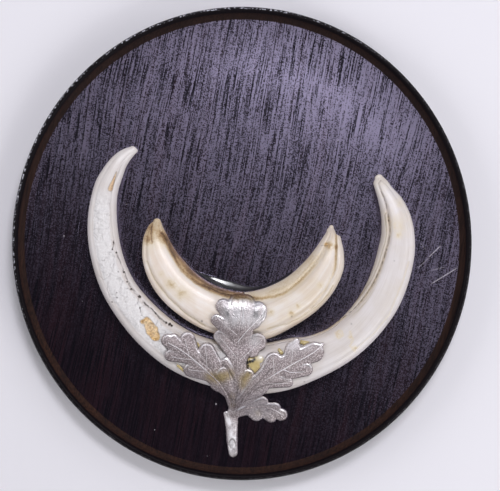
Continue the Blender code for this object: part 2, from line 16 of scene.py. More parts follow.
import bmesh
import bpy
import numpy as np
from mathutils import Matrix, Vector


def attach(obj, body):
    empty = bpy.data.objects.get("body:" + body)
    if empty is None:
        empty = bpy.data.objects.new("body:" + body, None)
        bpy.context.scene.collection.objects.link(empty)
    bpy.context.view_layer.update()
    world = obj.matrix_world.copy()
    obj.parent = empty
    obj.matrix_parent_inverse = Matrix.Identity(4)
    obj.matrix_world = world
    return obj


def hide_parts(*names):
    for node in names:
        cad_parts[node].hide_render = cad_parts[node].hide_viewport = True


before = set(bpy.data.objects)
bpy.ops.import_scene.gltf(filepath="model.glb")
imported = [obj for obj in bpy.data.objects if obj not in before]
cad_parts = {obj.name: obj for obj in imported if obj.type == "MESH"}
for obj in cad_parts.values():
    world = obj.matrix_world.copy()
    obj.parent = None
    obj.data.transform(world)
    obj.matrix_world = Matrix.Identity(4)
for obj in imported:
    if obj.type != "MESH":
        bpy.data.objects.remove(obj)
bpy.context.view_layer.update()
MM = 0.001
print("solids:", ", ".join(sorted(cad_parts)))

# %% [markdown]
# ## Curves and lumps
#
# A tusk is measured at a few stations along its length. Its width, thickness and edges are then
# read from a smooth curve through those stations. Drawn marks, such as a crack or a vein, are
# lines: the distance to the line says how deep the mark is at a point. Natural roughness comes from
# lattice noise, which is worked out from the place alone, so it's the same in every run.

# %% Curves through measured points
def smooth_through(stations, column, at):
    """Value of a station column at the places `at`, on a smooth curve that never overshoots."""
    table = np.array(stations, dtype=float)
    x, y = table[:, 0], table[:, column]
    step = np.diff(x)
    rise = np.diff(y) / step
    bend = np.zeros_like(y)
    both = rise[:-1] * rise[1:]
    same = both > 0
    bend[1:-1][same] = 2 * both[same] / (rise[:-1] + rise[1:])[same]
    bend[0], bend[-1] = rise[0], rise[-1]
    i = np.clip(np.searchsorted(x, at) - 1, 0, len(x) - 2)
    t = np.clip((at - x[i]) / step[i], 0, 1)
    start = (1 + 2 * t) * (1 - t) ** 2 * y[i] + t * (1 - t) ** 2 * step[i] * bend[i]
    end = t * t * (3 - 2 * t) * y[i + 1] - t * t * (1 - t) * step[i] * bend[i + 1]
    return start + end


def curved(path, spacing):
    """Points of the smooth curve through a path, about as far apart as the spacing."""
    at = np.concatenate(([0], np.cumsum(np.hypot(*np.diff(np.array(path), axis=0).T))))
    stations = [(a, *point) for a, point in zip(at, path)]
    along = np.linspace(0, at[-1], max(2, round(at[-1] / spacing) + 1))
    return list(zip(smooth_through(stations, 1, along), smooth_through(stations, 2, along)))


def between(value, low, high):
    """0 below low, 1 above high, and a soft step between. With low above high it falls instead."""
    t = np.clip((value - low) / (high - low), 0, 1)
    return t * t * (3 - 2 * t)


# %% Distances to drawn lines
def bar_distance(x, y, bar):
    """Distance to a tapered round bar (x, y, radius, x, y, radius), negative inside it."""
    x0, y0, r0, x1, y1, r1 = bar
    dx, dy = x1 - x0, y1 - y0
    t = np.clip(((x - x0) * dx + (y - y0) * dy) / (dx * dx + dy * dy), 0, 1)
    return np.hypot(x - x0 - t * dx, y - y0 - t * dy) - (r0 + (r1 - r0) * t)


def bars_distance(x, y, bars):
    return np.min([bar_distance(x, y, bar) for bar in bars], axis=0)


def path_distance(x, y, path):
    """Distance to a line through several points."""
    return bars_distance(x, y, [(*a, 0, *b, 0) for a, b in zip(path[:-1], path[1:])])


def notch(distance, half_width, depth=1.0):
    """The depth on a line, fading to 0 over its half-width."""
    return depth * np.exp(-(distance / half_width) ** 2)


def dabs(x, y, *spots):
    """Round spots (x, y, radius, strength), added up. Each fades to 0 outside its radius."""
    return sum(notch(np.hypot(x - spot[0], y - spot[1]), *spot[2:]) for spot in spots)


# %% Lattice noise
def lumps(x, y, size, seed, layers=2):
    """Noise between -1 and 1, whose largest lumps are about `size` across."""
    total, weight = 0, 0
    for layer in range(layers):
        u, v = x / size * 2 ** layer + 17.3 * layer, y / size * 2 ** layer - 9.1 * layer
        i, j = np.floor(u).astype(np.int64), np.floor(v).astype(np.int64)
        s, t = between(u - i, 0, 1), between(v - j, 0, 1)

        def corner(di, dj):
            n = ((i + di) * 374761393 + (j + dj) * 668265263 + (seed + layer) * 69069) & 0xFFFFFFFF
            n = ((n ^ (n >> 13)) * 1274126177) & 0xFFFFFFFF
            return ((n ^ (n >> 16)) & 0xFFFF) / 32767.5 - 1

        low = corner(0, 0) * (1 - s) + corner(1, 0) * s
        high = corner(0, 1) * (1 - s) + corner(1, 1) * s
        total = total + (low * (1 - t) + high * t) / 2 ** layer
        weight += 1 / 2 ** layer
    return total / weight


def wandering(x, y, path, amount, size, seed):
    """The distance to a drawn line that wanders a little, as a crack does."""
    dx, dy = amount * lumps(x, y, size, seed), amount * lumps(x, y, size, seed + 50)
    return path_distance(x + dx, y + dy, path)


print("noise at one place:", round(float(lumps(np.array([3.0]), np.array([4.0]), 2.0, 1)[0]), 4))

# %% [markdown]
# ## From points to a piece
#
# A finished piece is one closed mesh at the origin, with its faces pointing outwards. It takes the
# place of its plain solid and rides on the only body that the trophy has. Marks that are worked out
# per point, such as a stain, travel with the mesh as a colour attribute that its material reads.

# %% Make a piece
def put(name, data):
    """A new object in the scene."""
    thing = bpy.data.objects.new(name, data)
    bpy.context.scene.collection.objects.link(thing)
    return thing


def tube_faces(rings, around):
    """The sides of a tube whose points are counted ring by ring."""
    return [(r * around + k, r * around + (k + 1) % around,
             (r + 1) * around + (k + 1) % around, (r + 1) * around + k)
            for r in range(rings - 1) for k in range(around)]


def make_piece(name, points, faces, finish, crease, node=None, marks=None, course=None):
    """A closed mesh; its edges stay sharp where they bend more than the crease, in degrees."""
    mesh = bpy.data.meshes.new(name)
    mesh.from_pydata((np.asarray(points, float) * MM).tolist(), [], faces)
    bm = bmesh.new()
    bm.from_mesh(mesh)
    bmesh.ops.recalc_face_normals(bm, faces=bm.faces)
    bm.to_mesh(mesh)
    open_edges = sum(1 for edge in bm.edges if len(edge.link_faces) != 2)
    bm.free()
    mesh.shade_smooth()
    mesh.set_sharp_from_angle(angle=math.radians(crease))
    mesh.materials.append(finish)
    if marks is not None:
        layer = mesh.attributes.new("marks", "FLOAT_COLOR", "POINT")
        layer.data.foreach_set("color", np.clip(marks, 0, 1).astype(np.float32).ravel())
    if course is not None:
        layer = mesh.attributes.new("course", "FLOAT_VECTOR", "POINT")
        layer.data.foreach_set("vector", (course * MM).astype(np.float32).ravel())
    piece = put(name, mesh)
    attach(piece, "root")
    if node:
        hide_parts(node)
    print(f"{name}: {len(mesh.polygons)} faces, {open_edges} open edges")
    return piece


# %% [markdown]
# ## Finishes as recipes
#
# Every finish is a node tree that ends in one Principled shader. The helpers below only save
# typing: each call or sign adds one node, so a finish reads from top to bottom.

# %% A short way to write node trees
def add_node(tree, kind, inputs, output=0, **settings):
    """One output of a new shader node. Its inputs are given by name or number."""
    node = tree.nodes.new("ShaderNode" + kind)
    for key, value in settings.items():
        setattr(node, key, value)
    for key, value in inputs.items():
        feed(node.inputs[key], value)
    return Output(node.outputs[output])


def feed(socket, value):
    """Link the socket to an output, or set its value."""
    if isinstance(value, Output):
        socket.id_data.links.new(value.socket, socket)
    elif isinstance(value, tuple) and len(value) == 3 and len(socket.default_value) == 4:
        socket.default_value = (*value, 1.0)
    else:
        socket.default_value = value


class Output:
    """What a node gives. A sum, a product or a call on it adds the next node."""

    def __init__(self, socket):
        self.socket = socket

    def then(self, kind, inputs, **settings):
        return add_node(self.socket.id_data, kind, inputs, **settings)

    def maths(self, operation, other=0.0):
        return self.then("Math", {0: self, 1: other}, operation=operation)

    def __add__(self, other):
        return self.maths("ADD", other)

    def __sub__(self, other):
        return self.maths("SUBTRACT", other)

    def __mul__(self, other):
        return self.maths("MULTIPLY", other)

    def span(self, low, high, to_low=0.0, to_high=1.0, curve="LINEAR"):
        return self.then("MapRange", {"Value": self, "From Min": low, "From Max": high,
                                      "To Min": to_low, "To Max": to_high},
                         interpolation_type=curve)

    def split(self, kind="SeparateXYZ"):
        return [Output(socket) for socket in self.then(kind, {0: self}).socket.node.outputs]

    def turned(self, scale, degrees=0.0, shift=(0, 0, 0)):
        return self.then("Mapping", {"Vector": self, "Scale": scale, "Location": shift,
                                     "Rotation": (0, 0, math.radians(degrees))})

    def pushed(self, sideways):
        shift = self.then("CombineXYZ", {"X": sideways})
        return self.then("VectorMath", {0: self, 1: shift}, operation="ADD")

    def noise(self, scale, detail=3.0, roughness=0.6):
        return self.then("TexNoise", {"Vector": self, "Scale": scale, "Detail": detail,
                                      "Roughness": roughness})

    def cells(self, scale):
        return self.then("TexVoronoi", {"Vector": self, "Scale": scale})


class Finish:
    def __init__(self, name, **uniform):
        self.material = bpy.data.materials.new(name)
        self.material.use_nodes = True
        self.tree = self.material.node_tree
        self.done(**uniform)

    def place(self):
        return add_node(self.tree, "TexCoord", {}, "Object")

    def attribute(self, name, output):
        return add_node(self.tree, "Attribute", {}, output, attribute_name=name)

    def marks(self):
        """The four channels of the piece's drawn marks."""
        colour = self.attribute("marks", "Color").split("SeparateColor")
        return (*colour, self.attribute("marks", "Alpha"))

    def mix(self, share, below, above, blend="MIX"):
        inputs = {0: share, 6: below, 7: above}
        return add_node(self.tree, "Mix", inputs, 2, data_type="RGBA", blend_type=blend)

    def layers(self, colour, *coats):
        """The colour under several coats (share, colour), the last one on top."""
        for share, coat in coats:
            colour = self.mix(share, colour, coat)
        return colour

    def bump(self, height, strength, distance):
        return add_node(self.tree, "Bump", {"Height": height, "Strength": strength,
                                            "Distance": distance * MM})

    def done(self, **sockets):
        shader = self.tree.nodes["Principled BSDF"]
        for socket, value in sockets.items():
            feed(shader.inputs[socket.replace("_", " ")], value)
        return self.material


# %% [markdown]
# ## The plaque
#
# The board was turned on a lathe, so one profile says it all: a flat back, an upright edge, a round
# lip, a hollow behind the lip, and the flat field. Geometry Nodes turn that profile round a circle.
# The board has since shrunk a little across its grain, so it is scaled slightly oval at the end.
#
# The field was planed by hand along the grain. Its ebonising stain sits unevenly in long streaks
# and leaves open pores, and light catches the ridges between them. On the rim the black has worn
# away from the hollow and shows warm brown, painted stronger towards the bottom as light on the
# hollow, which faces the main light there. Pale specks on the outer lip are painted glints.

# %% The plaque's sizes
BOARD_WIDTH, BOARD_HEIGHT, FIELD = 270.7, 278.9, 14.0
BOARD_RADIUS = (BOARD_WIDTH + BOARD_HEIGHT) / 4
GRAIN_LEAN, TURNING_STEPS, NEARLY_TOGETHER = 11.5, 360, 0.01
# The hollow starts and ends this far in from the edge.
HOLLOW = (4.3, 7.7)
# (distance in from the edge, height)
BOARD_EDGE = (
    (3.6, 0), (2.6, 0.15), (1.7, 0.7), (0.9, 1.6), (0.4, 3.2), (0.1, 5.6), (0, 8.5), (0.05, 11.5),
    (0.25, 14.2), (0.5, 15.6), (0.85, 16.7), (1.35, 17.5), (1.9, 17.9), (2.4, 18), (2.9, 17.9),
    (3.4, 17.5), (3.75, 16.95), (4.1, 16.3), (4.6, 15.7), (5.2, 15.15), (5.9, 14.65), (6.6, 14.3),
    (7.1, 14.08), (7.6, 14))
# (start, end, half-width, strength)
BOARD_MARKS = (
    ((103.6, -14.4), (110, -8.4), 0.35, 0.6),
    ((110, -8), (116.8, -1.4), 0.42, 1),
    ((111.6, -23.6), (126.6, -14.4), 0.42, 1),
    ((111.2, -15.9), (119, -13.9), 0.35, 0.45),
    ((105.2, 0.2), (108, -3.6), 0.35, 0.4),
    ((-15.2, -95), (-15.2, -93.8), 0.6, 1),
    ((-104.6, 3.9), (-104.6, 4.9), 0.5, 0.8),
    ((56, 60), (57.2, 61), 0.4, 0.6))


# %% The plaque's finishes
def board_patterns(finish):
    """Fibres, streaks, pores and specks that run through the board, along its leaning grain."""
    place = finish.place()
    drift = place.turned((9, 4, 9)).noise(1.0, 2.0, 0.5)
    along = place.turned((1, 1, 1), GRAIN_LEAN).pushed(drift.span(0, 1, -0.012, 0.012))
    fibre = along.turned((1450, 42, 1450)).noise(1.0)
    band = along.turned((150, 6, 150)).noise(1.0, 3.0, 0.5)
    pore = along.turned((1350, 30, 1350), 0, (3, 1, 0)).noise(1.0, 2.0, 0.5)
    return place, fibre, band, pore.span(0.53, 0.62), place.noise(1400.0, 1.0, 0.6)


def scratch(place, start, end, half_width):
    """1 on a short straight mark between two points, given in millimetres."""
    run, rise = end[0] - start[0], end[1] - start[1]
    length, lean = math.hypot(run, rise), math.atan2(rise, run)
    x, y = (start[0] + end[0]) / 2 * MM, (start[1] + end[1]) / 2 * MM
    shift = (-x * math.cos(lean) - y * math.sin(lean), x * math.sin(lean) - y * math.cos(lean), 0)
    along, across, _ = place.turned((1, 1, 1), -math.degrees(lean), shift).split()
    return (across.maths("ABSOLUTE").span(half_width * MM, 0.4 * half_width * MM)
            * along.maths("ABSOLUTE").span(0.55 * length * MM, 0.4 * length * MM))


def ebonised_wood():
    finish = Finish("ebonised_wood", IOR=2.2, Specular_IOR_Level=1.0,
                    Specular_Tint=(0.77, 0.7, 1.0))
    place, fibre, band, in_pore, speck = board_patterns(finish)
    dust = place.cells(110.0).span(0.045, 0.02) * place.noise(55.0, 3.0, 0.55).span(0.46, 0.62)
    for start, end, half_width, strength in BOARD_MARKS:
        dust = dust.maths("MAXIMUM", scratch(place, start, end, half_width) * strength)
    black = finish.layers((0.0026, 0.0008, 0.0014),
                          (fibre.span(0.35, 0.65), (0.0095, 0.003, 0.005)),
                          (band.span(0.45, 0.7), (0.015, 0.0042, 0.0058)),
                          (in_pore, (0.0008, 0.0004, 0.0006)), (dust, (0.4, 0.37, 0.4)))
    x, y, _ = place.split()
    lively = (y + x * 0.35).span(-0.03, 0.09, 0.3, 0.48)
    raised = (fibre - 0.5) * lively + 0.24 + speck * 0.52
    raised = raised - in_pore * y.span(-0.02, 0.1, 0.06, 0.15)
    lower = y + x * 0.5
    upper_right = x.span(0.02, 0.08) * y.span(0.03, 0.08)
    rough = raised.span(0.33, 0.58, 0.09, 0.4) * lower.span(-0.12, 0.01, 0.45, 1.0)
    rough = rough * upper_right.span(0, 1, 1.0, 1.25)
    height, relief = fibre + speck * 0.9 - in_pore * 0.9, lower.span(-0.12, 0.01, 0.25, 1.0)
    return finish.done(Base_Color=black, Roughness=rough, Normal=finish.bump(height, relief, 0.03))


def worn_rim():
    finish = Finish("worn_rim", Specular_IOR_Level=0.12)
    place, fibre, band, in_pore, speck = board_patterns(finish)
    x, y, _ = place.split()
    # Painted light: the brown share grows towards the bottom, where the hollow faces the main
    # light, and is weakest at the top; the brown itself is wear.
    lower = (y + x * 0.35).span(0.12, -0.12)
    wear_and_light = band.span(0.3, 0.7, 0.45, 1.0) * lower.span(0, 1, 0.42, 1.0)
    brown = finish.mix(fibre.span(0.3, 0.7), (0.014, 0.0055, 0.0038), (0.05, 0.021, 0.013))
    colour = finish.layers((0.009, 0.0055, 0.0062), (wear_and_light, brown),
                           (in_pore * 0.6, (0.006, 0.003, 0.003)))
    return finish.done(Base_Color=colour, Roughness=speck.span(0.3, 0.7, 0.6, 0.8),
                       Normal=finish.bump(fibre + speck * 0.6, 0.6, 0.1))


def ebonised_edge():
    finish = Finish("ebonised_edge", Specular_IOR_Level=0.1)
    place, fibre, _, _, speck = board_patterns(finish)
    x, y, z = place.split()
    across = x.maths("DIVIDE", BOARD_WIDTH / 2 * MM)
    up = y.maths("DIVIDE", BOARD_HEIGHT / 2 * MM)
    reach = across * across + up * up
    # Painted glints: pale specks along the outer lip, strongest on the upper left, stand in for
    # highlights on the rough edge.
    painted_glints = place.noise(750.0, 2.0, 0.6).span(0.55, 0.6) * reach.span(0.966, 0.974)
    painted_glints = painted_glints * reach.span(0.988, 0.982) * z.span(0.014, 0.0165)
    painted_glints = painted_glints * (y - x * 0.8).span(0.04, 0.13, 0.06, 1.0)
    black = finish.layers((0.0022, 0.0014, 0.0024), (fibre.span(0.3, 0.7), (0.0065, 0.004, 0.0056)),
                          (painted_glints, (0.62, 0.62, 0.7)))
    return finish.done(Base_Color=black, Roughness=speck.span(0.3, 0.7, 0.34, 0.6),
                       Normal=finish.bump(fibre + speck * 0.8, 1.0, 0.12))


# %% Turn the board with Geometry Nodes
def geometry_tree(title, inputs, kinds, fixed, links):
    """A Geometry Nodes tree from its inputs and their starting values, its nodes, the sockets that
    stay fixed, and its links. Every tree realizes its instances and sets its finish at the end."""
    tree = bpy.data.node_groups.new(title, "GeometryNodeTree")
    tree.interface.new_socket("Geometry", in_out="OUTPUT", socket_type="NodeSocketGeometry")
    ids = {}
    for name, value in {**inputs, "Finish": "Material"}.items():
        kind = {float: "Float", int: "Int"}.get(type(value), value)
        socket = tree.interface.new_socket(name, in_out="INPUT", socket_type=f"NodeSocket{kind}")
        if kind != value:
            socket.default_value = value
        ids[name] = socket.identifier
    nodes = {name: tree.nodes.new(kind) for name, kind in {
        "given": "NodeGroupInput", "result": "NodeGroupOutput", **kinds,
        "real": "GeometryNodeRealizeInstances", "dressed": "GeometryNodeSetMaterial"}.items()}
    for (name, socket), value in fixed.items():
        nodes[name].inputs[socket].default_value = value
    for line in (*links.strip().splitlines(), "real.Geometry > dressed.Geometry",
                 "given.Finish > dressed.Material", "dressed.Geometry > result.Geometry"):
        (source, output), (target, entry) = (end.split(".") for end in line.strip().split(" > "))
        tree.links.new(nodes[source].outputs[output], nodes[target].inputs[entry])
    return tree, ids


def run_nodes(line, tree, ids, **values):
    """Points and faces that the tree makes of a line. Places are in millimetres."""
    curve = bpy.data.curves.new("line", "CURVE")
    curve.dimensions = "3D"
    spline = curve.splines.new("POLY")
    spline.points.add(len(line) - 1)
    for point, place in zip(spline.points, line):
        point.co = (*(c * MM for c in place), 1.0)
    drawn = put("line", curve)
    modifier = drawn.modifiers.new("nodes", "NODES")
    modifier.node_group = tree
    for name, value in values.items():
        modifier[ids[name.replace("_", " ")]] = value
    mesh = bpy.data.meshes.new_from_object(
        drawn.evaluated_get(bpy.context.evaluated_depsgraph_get()))
    bpy.data.objects.remove(drawn)
    points = np.array([v.co[:] for v in mesh.vertices]) / MM
    return points, [tuple(face.vertices) for face in mesh.polygons]


def build_plaque():
    profile = [(-BOARD_RADIUS, 0, 0)] + [(-inwards, -height, 0) for inwards, height in BOARD_EDGE]
    profile += [(-BOARD_RADIUS * share, -FIELD, 0) for share in (0.25, 0.5, 0.75, 1.0)]
    tree, ids = geometry_tree(
        "turned board",
        {"Profile": "Geometry", "Radius": 0.1, "Width share": 1.0, "Height share": 1.0,
         "Steps": 64},
        {"circle": "GeometryNodeCurvePrimitiveCircle", "sweep": "GeometryNodeCurveToMesh",
         "shares": "ShaderNodeCombineXYZ", "oval": "GeometryNodeTransform",
         "merged": "GeometryNodeMergeByDistance"},
        {("shares", "Z"): 1.0, ("merged", "Distance"): NEARLY_TOGETHER * MM},
        """given.Radius > circle.Radius
        given.Steps > circle.Resolution
        circle.Curve > sweep.Curve
        given.Profile > sweep.Profile Curve
        given.Width share > shares.X
        given.Height share > shares.Y
        sweep.Mesh > oval.Geometry
        shares.Vector > oval.Scale
        oval.Geometry > merged.Geometry
        merged.Geometry > real.Geometry""")
    finishes = ebonised_wood(), worn_rim(), ebonised_edge()
    points, faces = run_nodes(profile, tree, ids, Radius=BOARD_RADIUS * MM,
                              Steps=TURNING_STEPS, Finish=finishes[0],
                              Width_share=BOARD_WIDTH / 2 / BOARD_RADIUS,
                              Height_share=BOARD_HEIGHT / 2 / BOARD_RADIUS)
    board = make_piece("turned_plaque", points, faces, finishes[0], crease=50.0,
                       node="plaque")
    for finish in finishes[1:]:
        board.data.materials.append(finish)
    for face in board.data.polygons:
        x, y, z = face.center / MM
        inwards = BOARD_RADIUS * (1 - math.hypot(x * 2 / BOARD_WIDTH, y * 2 / BOARD_HEIGHT))
        if inwards < HOLLOW[0]:
            face.material_index = 2
        elif inwards < HOLLOW[1] and z > FIELD:
            face.material_index = 1


build_plaque()

# %% [markdown]
# ## The tusks
#
# Every tusk follows a circle. At each turn from its tip it has an inner edge, an outer edge, a
# thickness and a small lift off the board. Its section is a rounded arch over a flatter underside,
# with two lengthwise grooves that wander a little. The mesh here is a grid of fine sections, closed
# by a rounded tip and a flat root under the sprig.

# %% The tusks' sizes
GAP = 0.3
LOWER_CENTRE, UPPER_CENTRE = (1.3, 6.7), (1.3, 16.6)
WIDEST_AT, UNDER_ROUNDNESS = 0.42, 3.0
GROOVE_FADE_TURN, GROOVE_FADE_EDGE = 12.0, 0.05
# A station is (turn from the tip in degrees, inner radius, outer radius, thickness, lift).
LOWER_LEFT_STATIONS = (
    (0, 78, 83, 3.6, 2.4), (3, 78.5, 86, 5, 2.2), (7, 78.7, 88.4, 7, 1.8),
    (13, 77.8, 90.3, 9.2, 1.2), (19, 77.2, 91.5, 10.8, 0.8), (28, 75.3, 91.5, 12.2, 0.3),
    (37, 73.4, 91.2, 13.4, 0), (49, 71.7, 90.3, 14.4, 0), (61, 70, 89.7, 15.2, 0),
    (73, 67.6, 89.1, 15.8, 0), (85, 66.3, 89.5, 16.2, 0), (97, 65.8, 90.5, 16.5, 0),
    (109, 65.4, 91.3, 16.6, 0), (126, 65.2, 92.4, 16.6, 0))
LOWER_RIGHT_STATIONS = (
    (0, 82.4, 87.3, 3.6, 2.4), (1, 81, 88, 4.6, 2.2), (2, 80.5, 88.7, 5.6, 2),
    (5, 80.4, 90.2, 7.4, 1.6), (10, 80.4, 94.3, 9.6, 1.1), (16, 80.4, 97.4, 11.6, 0.7),
    (22, 80.1, 99.2, 13, 0.3), (30, 78.6, 100.2, 14.4, 0), (46, 77.2, 100.1, 15.8, 0),
    (58, 76.2, 98.9, 16.4, 0), (70, 74.6, 97.5, 16.8, 0), (76, 72.7, 96.6, 17, 0),
    (82, 70.5, 95.8, 17, 0), (88, 67.5, 95.4, 17, 0), (94, 66.4, 95.4, 17, 0),
    (110, 65.2, 94.5, 17, 0))
UPPER_LEFT_STATIONS = (
    (0, 48.9, 53.1, 4.6, 2.6), (2, 48.3, 55.8, 7, 2), (4.5, 47.8, 57.5, 9.4, 1.6),
    (8, 46.9, 59.8, 11.6, 1), (12, 46.1, 61.6, 13.2, 0.6), (22, 45, 65.2, 15.6, 0),
    (37, 43.8, 68.1, 17.4, 0), (57, 44.2, 69.7, 18.2, 0), (72, 44.5, 71.1, 18.3, 0),
    (84.8, 44.8, 71.7, 18.4, 0))
UPPER_RIGHT_STATIONS = (
    (0, 50, 52.9, 3.8, 2.6), (1.7, 49.1, 54, 6.4, 2.2), (3.3, 49, 54.9, 8.4, 1.8),
    (4.1, 48.8, 57.4, 9.2, 1.6), (6.7, 48, 58.8, 11, 1.2), (11.7, 46.8, 61.8, 13.2, 0.6),
    (21.7, 45.2, 66.4, 16, 0), (36.7, 44, 69.2, 17.6, 0), (56.7, 43.9, 70.8, 18.2, 0),
    (66, 44.2, 72.5, 18.3, 0), (71, 44.4, 73.3, 18.4, 0), (80.5, 44.9, 73.8, 18.4, 0))
# A groove is (place across the section, half-width, depth, course); the course says where it really
# is, as (turn from the tip, place across).
TUSKS = {name: dict(zip(("centre", "tip_angle", "sense", "stations", "crest", "roundness",
                         "grooves"), sizes)) for name, sizes in {
    "tusk_lower_left": (
        LOWER_CENTRE, 143.0, 1, LOWER_LEFT_STATIONS, 0.52, 2.3,
        ((0.2, 0.05, 1, ((0, 0.28), (20, 0.26), (45, 0.16), (90, 0.13), (126, 0.12))),
         (0.78, 0.06, 0.5, ((0, 0.78), (30, 0.79), (126, 0.82))))),
    "tusk_lower_right": (
        LOWER_CENTRE, 22.0, -1, LOWER_RIGHT_STATIONS, 0.46, 2.4,
        ((0.2, 0.05, 1.5, ((0, 0.36), (5, 0.26), (20, 0.23), (36, 0.17), (50, 0.11), (62, 0.05),
                           (110, 0.05))),
         (0.86, 0.05, 0.5, ((0, 0.8), (45, 0.82), (110, 0.84))))),
    "tusk_upper_left": (
        UPPER_CENTRE, 184.0, 1, UPPER_LEFT_STATIONS, 0.5, 2.1,
        ((0.2, 0.06, 1.5, ((0, 0.16), (14, 0.11), (38, 0.18), (60, 0.12), (85, 0.12))),
         (0.86, 0.05, 1, ((0, 0.8), (22, 0.86), (43, 0.83), (67, 0.91), (85, 0.92))))),
    "tusk_upper_right": (
        UPPER_CENTRE, -8.3, -1, UPPER_RIGHT_STATIONS, 0.5, 2.1,
        ((0.3, 0.06, 1.6, ((0, 0.26), (27, 0.23), (50, 0.26), (62, 0.24), (80, 0.18))),
         (0.8, 0.05, 1.4, ((0, 0.64), (16, 0.67), (23, 0.75), (46, 0.85), (80, 0.86)))))}.items()}


# %% The tusks' form
def measured(tusk, column, turn):
    return smooth_through(tusk["stations"], column, turn)


def turn_at(tusk, degrees):
    """The turn from the tusk's tip to a direction seen from its centre."""
    return (tusk["sense"] * (degrees - tusk["tip_angle"]) + 60) % 360 - 60


def carried(value, knots, moved_knots):
    """The value, carried along when every knot moves to its new place."""
    result = np.zeros(np.broadcast(value, *knots, *moved_knots).shape)
    for a, b, new_a, new_b in zip(knots[:-1], knots[1:], moved_knots[:-1], moved_knots[1:]):
        inside = (value >= a) & (value <= b)
        result = np.where(inside, new_a + (value - a) / (b - a) * (new_b - new_a), result)
    return result


def arch(u, crest, roundness):
    """Height of a rounded section from 0 at its edges to 1 at its crest."""
    bend = math.log(0.5) / math.log(crest)
    across = np.abs(2 * np.clip(u, 0, 1) ** bend - 1)
    return np.clip(1 - across ** roundness, 0, 1) ** (1 / roundness)


def tusk_heights(tusk, turn, u):
    """Heights of the tusk's top, with its grooves, and of its underside."""
    thick, low = measured(tusk, 3, turn), FIELD + GAP + measured(tusk, 4, turn)
    share = WIDEST_AT + (1 - WIDEST_AT) * arch(u, tusk["crest"], tusk["roundness"])
    at_rest = [0.0] + [groove[0] for groove in tusk["grooves"]] + [1.0]
    here = [0.0] + [np.interp(turn, *zip(*groove[3])) for groove in tusk["grooves"]] + [1.0]
    v = carried(np.clip(u, 0, 1), here, at_rest)
    cut = sum(notch(v - at, width, depth) for at, width, depth, _ in tusk["grooves"])
    fade = np.clip(turn / GROOVE_FADE_TURN, 0, 1)
    edge = np.clip(np.minimum(u, 1 - u) / GROOVE_FADE_EDGE, 0, 1)
    return (low + thick * share - cut * fade * edge,
            low + thick * WIDEST_AT * (1 - arch(u, 0.5, UNDER_ROUNDNESS)))


def tusk_place(tusk, turn, u):
    """Seen from above: x and y of a place across the tusk at a turn from its tip."""
    inner, outer = measured(tusk, 1, turn), measured(tusk, 2, turn)
    angle = np.radians(tusk["tip_angle"] + tusk["sense"] * turn)
    radius = inner + u * (outer - inner)
    return tusk["centre"][0] + radius * np.cos(angle), tusk["centre"][1] + radius * np.sin(angle)


# %% [markdown]
# ## Marks on the ivory
#
# The four tusks aged differently. On the long left one the enamel is gone from the middle, which
# was made good with chalky filler that has cracked and pitted and let two patches of orange dentine
# show. The long right one is smooth, with one brown groove, and its inner strip is painted darker
# as shade. The short ones are stained brown along their hollow side. Each mark is drawn where it
# lies, and each kind of mark has a channel of its own: stain, chalk, dirt and ochre. The dirt
# channel also carries the painted shade.

# %% Marks of the lower left tusk
# (half-width, depth, darkness, points)
LEFT_CRACKS = (
    (0.4, 0.6, 0.8, ((-74.3, 1.5), (-74.8, -3.6), (-72.6, -6), (-71.1, -9), (-70, -12.2),
     (-68.1, -16.8), (-66.3, -21.5), (-64, -26.3), (-61.2, -29), (-58.6, -31.2))),
    (0.45, 0.9, 0.95, ((-57.2, -33.6), (-55.3, -35.4), (-53, -37.3), (-49.6, -40.6),
     (-46.2, -44.3), (-43.8, -45.8))),
    (0.35, 0.5, 0.5, ((-59.3, -30.6), (-60.2, -34), (-58.7, -37.2), (-58.1, -41.2),
     (-56.2, -42.4))),
    (0.3, 0.4, 0.4, ((-58.7, -37.2), (-57, -35.9), (-55.3, -35.6))),
    (0.35, 0.45, 0.16, ((-73.9, -8.4), (-74.2, -14.4), (-76.7, -18.7), (-79.5, -21.1),
     (-81.9, -19.4))),
    (0.35, 0.4, 0.22, ((-77.1, -22.5), (-78, -26.9), (-76.6, -31))),
    (0.3, 0.35, 0.16, ((-66.9, -20), (-69.8, -22.8), (-70.6, -27.4))))
# (x, y, radius)
LEFT_HOLES = (
    (-74.4, 0.6, 0.5), (-74.8, -3.4, 0.45), (-72.7, -5.3, 0.6), (-68.2, -16.7, 0.7),
    (-71.3, -16.3, 0.45), (-63.9, -26.4, 0.8), (-59.2, -30.7, 1.15), (-58.7, -37.2, 0.5),
    (-74.9, -33.8, 0.45), (-72, -28.4, 0.4), (-71.9, -31.1, 0.4), (-43.6, -45.9, 0.8),
    (-41.7, -46.7, 1.05), (-40.6, -47.6, 0.85), (-49.8, -40.5, 0.65), (-66.4, -22.2, 0.6))
ORANGE_PATCH = (
    (-57, -44.9, 1.3, -54.6, -44.6, 2.1), (-54.6, -44.6, 2.1, -51.6, -50, 3.6),
    (-51.6, -50, 3.6, -49.4, -53.6, 2.5))
OCHRE_SLIT = (-72.7, 41.6, 0.15, -76.2, 31.6, 1.25)


